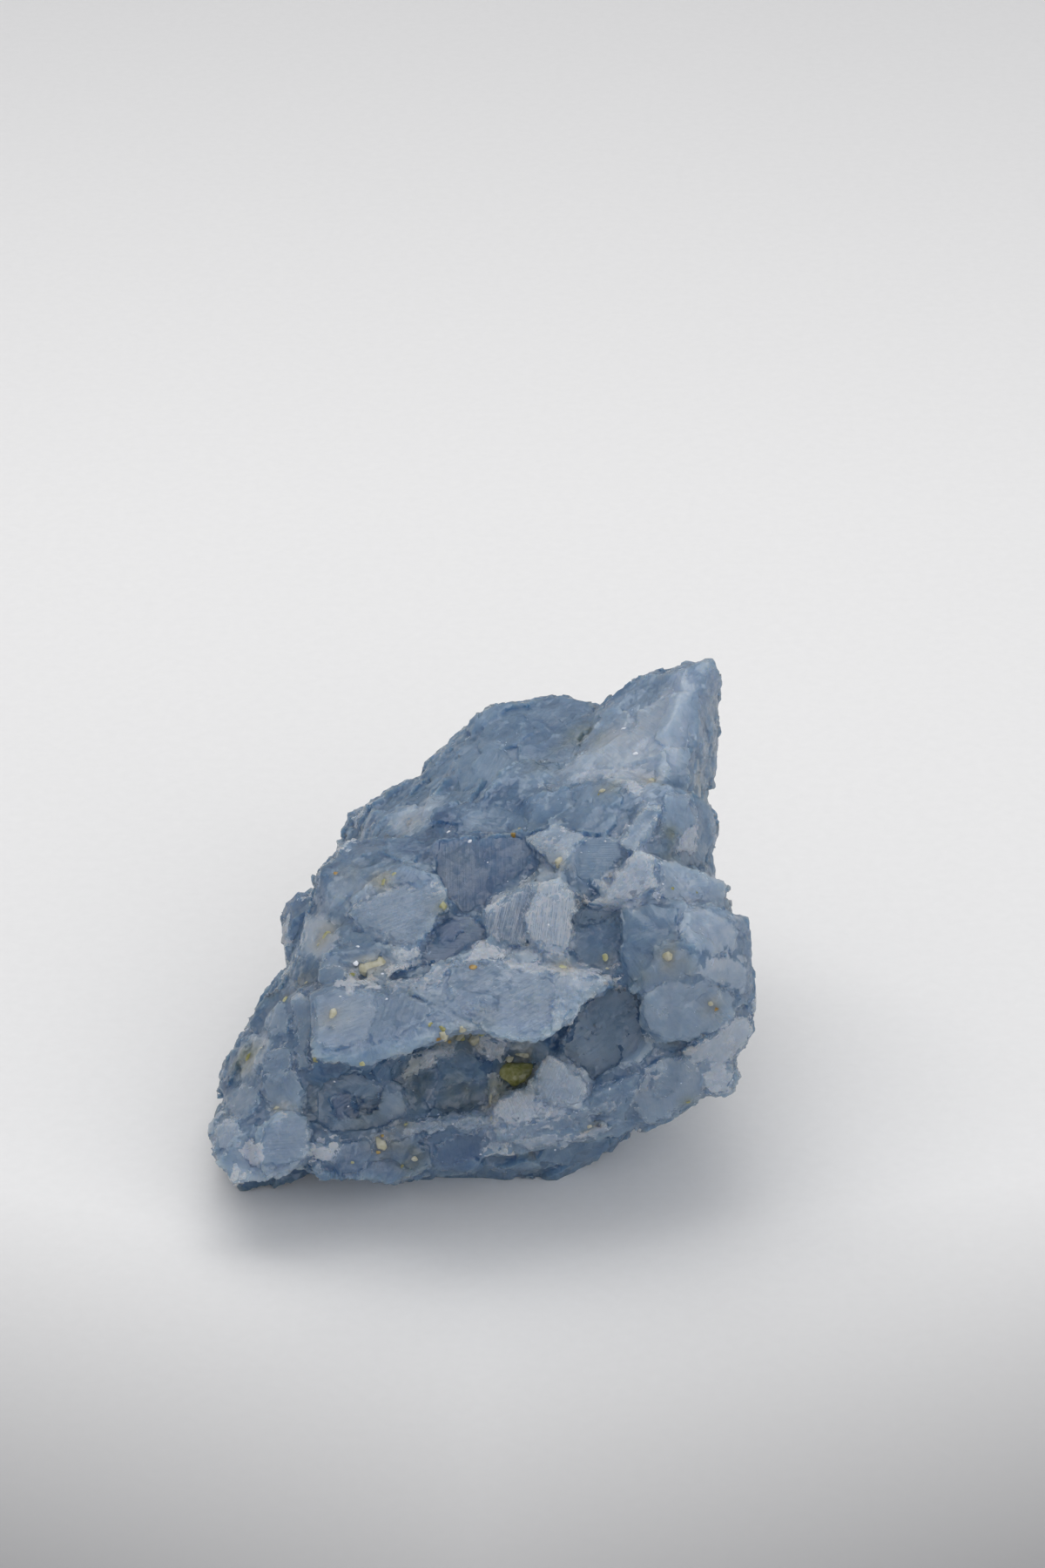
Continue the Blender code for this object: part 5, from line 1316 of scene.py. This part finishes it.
def lump(bm, place, n, along, size, key, sink):
    """One irregular, faceted grain, turned to the surface and sunk into it."""
    rng = random.Random(key)
    n = n.normalized()
    x = (along - n * along.dot(n)).normalized()
    y = n.cross(x)
    made = bmesh.ops.create_icosphere(bm, subdivisions=3, radius=1.0)["verts"]
    cuts = [(Vector((rng.gauss(0, 1), rng.gauss(0, 1), rng.gauss(0, 0.6))).normalized(), rng.uniform(0.55, 0.9)) for _ in range(11)]
    thick = min(size) * rng.uniform(0.45, 0.75)
    for v in made:
        p = v.co.copy()
        for c, d in cuts:                    # broken flats
            over = p.dot(c) - d
            if over > 0:
                p -= c * over
        p *= 1.0 + rng.uniform(-0.03, 0.03)
        v.co = place + (x * (p.x * size[0]) + y * (p.y * size[1]) + n * (p.z * thick - thick * sink))


def inclusion_material(kind):
    look = {
        "olive": ((0.110, 0.112, 0.018), (0.19, 0.19, 0.050), (0.32, 0.31, 0.14), 0.22, 0.8),
        "cream": ((0.20, 0.19, 0.12), (0.33, 0.32, 0.23), (0.46, 0.45, 0.38), 0.45, 0.35),
        "yellow": ((0.17, 0.17, 0.06), (0.29, 0.29, 0.14), (0.42, 0.42, 0.29), 0.35, 0.4),
        "rust": ((0.12, 0.060, 0.014), (0.27, 0.16, 0.022), (0.36, 0.27, 0.10), 0.35, 0.3),
        "white": ((0.52, 0.55, 0.60), (0.66, 0.68, 0.72), (0.78, 0.79, 0.82), 0.4, 0.3),
        "dark": ((0.012, 0.014, 0.03), (0.03, 0.03, 0.06), (0.05, 0.05, 0.09), 0.3, 0.0),
    }[kind]
    m = Nodes("grain_" + kind)
    pos = m.node("ShaderNodeTexCoord").outputs["Object"]
    a = m.noise(pos, 1400.0, 5.0, 0.65, warp=0.5)
    b = m.cells(pos, 2600.0)
    f = m.math("ADD", m.range(a, 0.25, 0.75), m.range(b, 0.0, 0.6, -0.15, 0.15), clamp=True)
    col = m.ramp(f, [(0.0, look[0]), (0.5, look[1]), (1.0, look[2])])
    s = m.node("ShaderNodeBsdfPrincipled")
    m.link(col, s.inputs["Base Color"])
    m.link(m.range(a, 0.3, 0.7, look[3] * 0.7, look[3] * 1.3), s.inputs["Roughness"])
    s.inputs["Subsurface Weight"].default_value = look[4]
    s.inputs["Subsurface Radius"].default_value = (1.0, 0.9, 0.6)
    s.inputs["Subsurface Scale"].default_value = 0.0008
    s.inputs["IOR"].default_value = 1.55
    m.link(m.bump(m.math("ADD", a, b), 0.5, 0.00012), s.inputs["Normal"])
    m.link(s.outputs[0], m.out.inputs["Surface"])
    return m.mat


def add_inclusions(stone, tree):
    meshes = {}
    spots = []
    for i, (kind, col, row, w, h, turn) in enumerate(INCLUSIONS):
        got = sight(tree, col, row)
        if got is None:
            continue
        hit, n, d = got
        n = (n + d * -0.5).normalized()
        a = math.radians(turn)
        along = Vector(EX * math.cos(a) + UP * math.sin(a))
        size = (w * 0.5 * UNIT * 0.001, h * 0.5 * UNIT * 0.001)
        bm = meshes.setdefault(kind, bmesh.new())
        lump(bm, hit, n, along, (size[0] * 0.92, size[1] * 0.92), 100 + i, 0.62)
    # the same minerals scattered over the sides that the front list doesn't reach
    rng = random.Random(41)
    eye = Vector(EYE * 0.001)
    me = stone.data
    faces = [f for f in (me.polygons[rng.randrange(len(me.polygons))] for _ in range(5000)) if f.center.z > 0.0015]
    placed = []
    for f in faces:
        if len(placed) >= 85:
            break
        # only where the front view shows nothing of it, nor its edge
        seen = abs(f.normal.dot((eye - f.center).normalized())) < 0.35
        around = [Vector(EX * a + UP * b) * 0.0016 for a, b in ((1, 0), (-1, 0), (0, 1), (0, -1), (0.7, 0.7), (-0.7, 0.7), (0.7, -0.7), (-0.7, -0.7))]
        for step in [f.normal * 0.0, f.normal * 0.0012] + around:
            q = f.center + step
            hit, _, _, _ = tree.ray_cast(eye, (q - eye).normalized())
            if hit is None or (hit - eye).length > (q - eye).length - 0.0010:
                seen = True
        if seen:
            continue
        if any((f.center - q).length < 0.0028 for q in placed):
            continue
        placed.append(f.center.copy())
        kind = rng.choice(["cream", "cream", "olive", "yellow", "white", "white", "rust"])
        r = rng.uniform(0.00030, 0.00085) * (0.45 if kind == "white" else 1.0)
        along = Vector((rng.gauss(0, 1), rng.gauss(0, 1), rng.gauss(0, 1)))
        bm = meshes.setdefault(kind, bmesh.new())
        lump(bm, f.center, f.normal, along, (r * rng.uniform(0.9, 1.5), r), 900 + len(placed), 0.85)
        spots.append((kind, f.center.copy(), r))
    made = []
    box_lo, box_hi = Vector(CAD_BOX[0]), Vector(CAD_BOX[1])
    for kind, bm in meshes.items():
        for v in bm.verts:
            for k in range(3):
                v.co[k] = min(max(v.co[k], box_lo[k] + 0.00002), box_hi[k] - 0.00002)
        me = bpy.data.meshes.new("grains_" + kind)
        bm.to_mesh(me)
        bm.free()
        ob = bpy.data.objects.new("grains_" + kind, me)
        bpy.context.scene.collection.objects.link(ob)
        me.materials.append(inclusion_material(kind))
        me.shade_smooth()
        me.set_sharp_from_angle(angle=math.radians(28))
        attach(ob, "root")
        made.append(ob)
    return made, spots


def paint_tints(stone, tree, spots):
    """Olive and cream stain in the calcite round the other minerals."""
    me = stone.data
    co = np.zeros(len(me.vertices) * 3, np.float32)
    me.vertices.foreach_get("co", co)
    co = co.reshape(-1, 3) * 1e3
    wob = smooth_noise(co, 0.9, 77) * 0.5 + smooth_noise(co, 2.3, 78) * 0.6
    stain = {"olive": np.zeros(len(co), np.float32), "cream": np.zeros(len(co), np.float32)}
    todo = []
    for kind, col, row, reach, strength in TINTS:
        got = sight(tree, col, row)
        if got is not None:
            todo.append((kind, np.array(got[0]) * 1e3, reach * UNIT, strength))
    for kind, c, r in spots:
        if kind in ("olive", "cream", "yellow", "rust"):
            todo.append(("olive" if kind in ("olive", "rust") else "cream", np.array(c) * 1e3, r * 2600, 0.6))
    for kind, c, reach, strength in todo:
        d = np.linalg.norm(co - c.astype(np.float32), axis=1) / reach + wob * 0.45
        s = np.clip(1.25 - d, 0, 1) ** 1.3 * strength
        stain[kind] = np.maximum(stain[kind], s)
    for kind, s in stain.items():
        a = me.attributes.new("stain_" + kind, "FLOAT", "POINT")
        a.data.foreach_set("value", s.astype(np.float32))


# ---- node helpers -------------------------------------------------------------
class Nodes:
    def __init__(self, name):
        self.mat = bpy.data.materials.new(name)
        self.mat.use_nodes = True
        self.t = self.mat.node_tree
        self.t.nodes.clear()
        self.out = self.t.nodes.new("ShaderNodeOutputMaterial")

    def node(self, kind, **values):
        n = self.t.nodes.new(kind)
        for k, v in values.items():
            setattr(n, k, v)
        return n

    def link(self, a, b):
        self.t.links.new(a, b)

    def put(self, socket, value):
        if isinstance(value, bpy.types.NodeSocket):
            self.link(value, socket)
        elif value is not None:
            socket.default_value = value

    def attr(self, name, out="Fac"):
        n = self.node("ShaderNodeAttribute", attribute_name=name)
        return n.outputs[out]

    def math(self, op, a, b=None, c=None, clamp=False):
        n = self.node("ShaderNodeMath", operation=op, use_clamp=clamp)
        for s, v in zip(n.inputs, (a, b, c)):
            self.put(s, v)
        return n.outputs[0]

    def range(self, v, a, b, c=0.0, d=1.0, kind="LINEAR"):
        n = self.node("ShaderNodeMapRange", interpolation_type=kind, clamp=True)
        self.put(n.inputs["Value"], v)
        for k, x in zip(("From Min", "From Max", "To Min", "To Max"), (a, b, c, d)):
            self.put(n.inputs[k], x)
        return n.outputs[0]

    def ramp(self, v, stops):
        n = self.node("ShaderNodeValToRGB")
        e = n.color_ramp.elements
        while len(e) < len(stops):
            e.new(0.5)
        for el, (pos, col) in zip(e, stops):
            el.position, el.color = pos, (*col, 1.0)
        self.put(n.inputs[0], v)
        return n.outputs[0]

    def mix(self, f, a, b, blend="MIX"):
        n = self.node("ShaderNodeMix", data_type="RGBA", blend_type=blend, clamp_factor=True)
        self.put(n.inputs[0], f)
        self.put(n.inputs[6], (*a, 1.0) if isinstance(a, tuple) and len(a) == 3 else a)
        self.put(n.inputs[7], (*b, 1.0) if isinstance(b, tuple) and len(b) == 3 else b)
        return n.outputs[2]

    def scaled(self, vec, s):
        n = self.node("ShaderNodeMapping")
        self.put(n.inputs["Vector"], vec)
        n.inputs["Scale"].default_value = s
        return n.outputs[0]

    def noise(self, vec, scale, detail=3.0, rough=0.55, out="Fac", warp=0.0):
        n = self.node("ShaderNodeTexNoise")
        self.put(n.inputs["Vector"], vec)
        n.inputs["Scale"].default_value = scale
        n.inputs["Detail"].default_value = detail
        n.inputs["Roughness"].default_value = rough
        n.inputs["Distortion"].default_value = warp
        return n.outputs[out]

    def cells(self, vec, scale, feature="F1", out="Distance", rand=1.0):
        n = self.node("ShaderNodeTexVoronoi", feature=feature)
        self.put(n.inputs["Vector"], vec)
        n.inputs["Scale"].default_value = scale
        n.inputs["Randomness"].default_value = rand
        return n.outputs[out]

    def facets(self, vec, scale, warp):
        """Small broken faces: cells, each with a slope and a colour of its own."""
        w = self.node("ShaderNodeTexNoise")
        self.put(w.inputs["Vector"], vec)
        w.inputs["Scale"].default_value = scale * 0.8
        w.inputs["Detail"].default_value = 2.0
        off = self.node("ShaderNodeVectorMath", operation="MULTIPLY_ADD")
        self.link(w.outputs["Color"], off.inputs[0])
        off.inputs[1].default_value = (warp / scale,) * 3
        self.put(off.inputs[2], vec)
        v = self.node("ShaderNodeTexVoronoi", feature="F1")
        self.link(off.outputs[0], v.inputs["Vector"])
        v.inputs["Scale"].default_value = scale
        d = self.node("ShaderNodeVectorMath", operation="SUBTRACT")
        self.link(off.outputs[0], d.inputs[0])
        self.link(v.outputs["Position"], d.inputs[1])
        c = self.node("ShaderNodeVectorMath", operation="SUBTRACT")
        self.link(v.outputs["Color"], c.inputs[0])
        c.inputs[1].default_value = (0.5, 0.5, 0.5)
        h = self.node("ShaderNodeVectorMath", operation="DOT_PRODUCT")
        self.link(d.outputs[0], h.inputs[0])
        self.link(c.outputs[0], h.inputs[1])
        s = self.node("ShaderNodeSeparateXYZ")
        self.link(v.outputs["Color"], s.inputs[0])
        return h.outputs["Value"], s.outputs[0]

    def bump(self, height, strength, distance, normal=None):
        n = self.node("ShaderNodeBump")
        self.put(n.inputs["Height"], height)
        n.inputs["Strength"].default_value = strength
        n.inputs["Distance"].default_value = distance
        if normal is not None:
            self.link(normal, n.inputs["Normal"])
        return n.outputs[0]


def calcite_material():
    m = Nodes("blue_calcite")
    pos = m.node("ShaderNodeTexCoord").outputs["Object"]
    along = m.attr("along", "Vector")
    # milky clouds inside the crystal
    cloud = m.noise(pos, 240.0, 2.0, 0.6, warp=0.5)
    mist = m.noise(pos, 640.0, 2.0, 0.55)
    veil = m.noise(pos, 1700.0, 3.0, 0.65)
    # cleavage lines run along each grain
    lines = m.noise(m.scaled(along, (0.25, 5.5, 2.5)), 1.0, 2.0, 0.6)
    fine = m.noise(m.scaled(along, (0.8, 16.0, 10.0)), 1.0, 2.0, 0.6)
    slope_a, shade_a = m.facets(pos, 480.0, 0.9)
    slope_b, shade_b = m.facets(pos, 1150.0, 0.7)
    slope_c, shade_c = m.facets(pos, 2700.0, 0.5)
    # torn rim of the flakes, finer than the mesh: straight notches, not a smooth line
    torn = m.math("ADD", m.range(veil, 0.3, 0.7, -0.06, 0.06),
                  m.math("ADD", m.range(shade_b, 0.1, 0.9, -0.34, 0.26), m.range(shade_c, 0.0, 1.0, -0.12, 0.12)))
    edge = m.math("ADD", m.attr("flake"), torn)
    blur = m.math("MULTIPLY_ADD", m.attr("flake_soft"), 0.42, 0.025)
    inside = m.range(edge, m.math("MULTIPLY", blur, -1.0), blur, 1.0, 0.0)
    base = m.attr("tone")
    tone = m.math("ADD", base, m.math("MULTIPLY", inside, m.math("SUBTRACT", m.attr("flake_tone"), base)))
    frost = m.math("MULTIPLY", inside, m.attr("flake_frost"))
    # painted highlight: flakes are made paler towards their top edges, where light catches them
    high = m.attr("flake_up")
    lean = m.math("MULTIPLY", m.math("MULTIPLY", inside, high), m.range(edge, -1.1, 0.0, 0.0, 0.09))
    tone = m.math("ADD", tone, lean)
    lightness = m.math("ADD", tone, m.range(cloud, 0.3, 0.7, -0.09, 0.09))
    lightness = m.math("ADD", lightness, m.range(mist, 0.3, 0.7, -0.045, 0.045))
    calm = m.range(inside, 0.0, 1.0, 1.0, 0.45)
    lightness = m.math("ADD", lightness, m.math("MULTIPLY", calm, m.range(shade_a, 0.0, 1.0, -0.05, 0.05)))
    lightness = m.math("ADD", lightness, m.math("MULTIPLY", calm, m.range(shade_b, 0.0, 1.0, -0.065, 0.065)))
    lightness = m.math("ADD", lightness, m.range(shade_c, 0.0, 1.0, -0.03, 0.03))
    lightness = m.math("ADD", lightness, m.range(lines, 0.3, 0.7, -0.025, 0.025), clamp=True)
    col = m.ramp(lightness, [(0.0, (0.065, 0.150, 0.315)), (0.25, (0.134, 0.240, 0.395)), (0.5, (0.226, 0.340, 0.480)),
                             (0.75, (0.350, 0.450, 0.570)), (1.0, (0.50, 0.57, 0.66))])
    # torn rims scatter white; small white specks are laid over the surface in cells
    crisp = m.range(blur, 0.03, 0.15, 1.0, 0.25)
    rim = m.math("MULTIPLY", m.range(edge, -0.16, -0.03, 0.0, 1.0), m.range(edge, 0.0, 0.04, 1.0, 0.0))
    rim = m.math("MULTIPLY", rim, m.range(veil, 0.40, 0.52, 0.10, 0.85))
    rim = m.math("MULTIPLY", m.math("MULTIPLY", rim, crisp), m.range(m.attr("flake_frost"), 0.0, 0.35, 0.30, 1.5))
    # painted highlight: the white of the torn rims is made stronger on top edges and weaker on bottom edges
    rim = m.math("MULTIPLY", rim, m.range(high, -0.5, 0.4, 0.25, 1.1))
    sharp = m.node("ShaderNodeNewGeometry").outputs["Pointiness"]
    white = m.math("MULTIPLY", m.range(sharp, 0.54, 0.68, 0.0, 0.16), m.range(veil, 0.4, 0.65, 0.2, 1.0))
    white = m.math("ADD", white, rim)
    crumb = m.math("MULTIPLY_ADD", shade_c, 0.30, m.math("MULTIPLY", veil, 0.70))
    mottle = m.math("MULTIPLY", m.range(fine, 0.36, 0.62, 0.35, 1.1), m.range(crumb, 0.38, 0.60, 0.40, 1.30))
    white = m.math("ADD", white, m.math("MULTIPLY", frost, mottle))
    comb = m.noise(m.scaled(along, (0.35, 11.0, 5.0)), 1.0, 2.0, 0.7)
    white = m.math("ADD", white, m.math("MULTIPLY", m.math("MULTIPLY", inside, m.attr("fibre")), m.range(comb, 0.46, 0.62, 0.0, 0.75)))
    spark = m.cells(pos, 1300.0)
    chips = m.math("MULTIPLY", m.range(spark, 0.05, 0.10, 1.0, 0.0), m.range(m.noise(pos, 380.0, 1.0), 0.62, 0.70))
    white = m.math("ADD", white, m.math("MULTIPLY", chips, 0.6), clamp=True)
    col = m.mix(white, col, (0.62, 0.65, 0.71))
    # painted shadow: a thin dark line under the bottom edges of the flakes, where their shade falls
    gap = m.math("MULTIPLY", m.range(edge, 0.02, 0.22, 1.0, 0.0), m.range(edge, -0.04, 0.02, 0.0, 1.0))
    gap = m.math("MULTIPLY", m.math("MULTIPLY", gap, crisp), m.range(high, -0.7, 0.1, 0.60, 0.0))
    gap = m.math("MULTIPLY", gap, m.range(m.attr("flake_frost"), 0.0, 0.3, 0.2, 1.0))
    col = m.mix(gap, col, (0.040, 0.075, 0.165))
    blot = m.range(mist, 0.3, 0.7, 0.25, 1.0)
    col = m.mix(m.math("MULTIPLY", m.attr("stain_olive"), blot), col, (0.235, 0.235, 0.105))
    col = m.mix(m.math("MULTIPLY", m.attr("stain_cream"), blot), col, (0.46, 0.43, 0.31))
    rough = m.math("ADD", m.range(mist, 0.3, 0.7, 0.10, 0.28), m.math("MULTIPLY", white, 0.25), clamp=True)
    # relief, in metres
    rest = m.range(m.attr("flake"), -0.05, 0.05, 0.15, 0.34)
    relief = m.math("ADD", m.math("MULTIPLY", m.math("ADD", m.math("ADD", slope_a, slope_b), slope_c), rest),
                    m.math("ADD", m.math("MULTIPLY", lines, 0.00005), m.math("MULTIPLY", fine, 0.000016)))
    n5 = m.bump(relief, 1.0, 1.0)
    b = m.node("ShaderNodeBsdfPrincipled")
    m.link(col, b.inputs["Base Color"])
    m.link(rough, b.inputs["Roughness"])
    m.link(n5, b.inputs["Normal"])
    b.inputs["IOR"].default_value = 1.52
    m.link(m.range(lightness, 0.1, 0.9, 0.62, 0.42), b.inputs["Transmission Weight"])
    b.inputs["Subsurface Weight"].default_value = 1.0
    b.inputs["Subsurface Radius"].default_value = (0.6, 0.8, 1.1)
    b.inputs["Subsurface Scale"].default_value = 0.0040
    m.link(b.outputs[0], m.out.inputs["Surface"])
    return m.mat


def floor_material():
    m = Nodes("pale_floor")
    pos = m.node("ShaderNodeTexCoord").outputs["Object"]
    grain = m.noise(pos, 900.0, 4.0, 0.6)
    col = m.mix(m.range(grain, 0.3, 0.7), (0.752, 0.747, 0.742), (0.772, 0.767, 0.762))
    # painted shade: the floor colour darkens towards the camera, more at the sides, and towards the wall at the back,
    # standing in for light falling off away from the stone
    sep = m.node("ShaderNodeSeparateXYZ")
    m.link(pos, sep.inputs[0])
    near = m.range(m.math("ADD", sep.outputs[1], m.math("MULTIPLY", m.math("ABSOLUTE", sep.outputs[0]), -0.35)), -0.092, -0.030, 1.0, 0.0)
    far = m.range(sep.outputs[1], 0.12, 0.50, 0.0, 0.30)
    col = m.mix(m.math("MAXIMUM", near, far), col, (0.270, 0.268, 0.272))
    b = m.node("ShaderNodeBsdfPrincipled")
    m.link(col, b.inputs["Base Color"])
    b.inputs["Roughness"].default_value = 0.85
    b.inputs["Specular IOR Level"].default_value = 0.2
    m.link(m.bump(grain, 0.03, 0.00002), b.inputs["Normal"])
    m.link(b.outputs[0], m.out.inputs["Surface"])
    return m.mat


def sweep():
    """Floor that curves up into a wall behind the stone."""
    prof = [(-1.2, 0.0), (0.35, 0.0)]
    r, y0 = 0.35, 0.35
    prof += [(y0 + r * math.sin(a), r - r * math.cos(a)) for a in np.linspace(0.05, math.pi / 2, 24)]
    prof += [(y0 + r, 1.6)]
    bm = bmesh.new()
    rows = []
    for x in (-1.6, 1.6):
        rows.append([bm.verts.new((x, y, z)) for y, z in prof])
    for i in range(len(prof) - 1):
        bm.faces.new((rows[0][i], rows[1][i], rows[1][i + 1], rows[0][i + 1]))
    me = bpy.data.meshes.new("backdrop")
    bm.to_mesh(me)
    bm.free()
    me.shade_smooth()
    ob = bpy.data.objects.new("backdrop", me)
    bpy.context.scene.collection.objects.link(ob)
    me.materials.append(floor_material())
    return ob


def area(name, place, aim, size, power, color=(1, 1, 1)):
    li = bpy.data.lights.new(name, "AREA")
    li.shape = "RECTANGLE"
    li.size, li.size_y = size
    li.energy = power
    li.color = color
    ob = bpy.data.objects.new(name, li)
    ob.location = place
    ob.rotation_euler = (Vector(aim) - Vector(place)).to_track_quat("-Z", "Y").to_euler()
    bpy.context.scene.collection.objects.link(ob)
    return ob


def light_and_camera():
    world = bpy.data.worlds.new("studio")
    bpy.context.scene.world = world
    world.use_nodes = True
    world.node_tree.nodes["Background"].inputs[0].default_value = (0.93, 0.95, 1.0, 1.0)
    world.node_tree.nodes["Background"].inputs[1].default_value = 0.55
    area("overhead", (-0.05, 0.09, 0.38), (-0.01, 0.03, 0), (0.36, 0.36), 0.70, (1.0, 0.99, 0.97))
    area("front", (0.24, -0.50, 0.32), (0, 0, 0.015), (0.7, 0.5), 1.7)
    area("wall", (0.0, 0.2, 0.9), (0, 0.7, 0.5), (1.4, 0.5), 2.0)
    cam = bpy.data.cameras.new("camera")
    cam.sensor_fit = "AUTO"
    cam.sensor_width = 36.0
    cam.lens = 125.0
    cam.clip_start = 0.01
    cam.clip_end = 20.0
    ob = bpy.data.objects.new("camera", cam)
    ob.location = Vector(EYE * 0.001)
    ob.rotation_euler = Vector(IN).to_track_quat("-Z", "Y").to_euler()
    bpy.context.scene.collection.objects.link(ob)
    bpy.context.scene.camera = ob
    bpy.context.scene.view_settings.view_transform = "Standard"


stone, field, info = stone_object()
stone.data.materials.clear()
stone.data.materials.append(calcite_material())
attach(stone, "root")
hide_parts("blue_calcite")
tree = BVHTree.FromObject(stone, bpy.context.evaluated_depsgraph_get())
grains, spots = add_inclusions(stone, tree)
paint_tints(stone, tree, spots)
sweep()
light_and_camera()
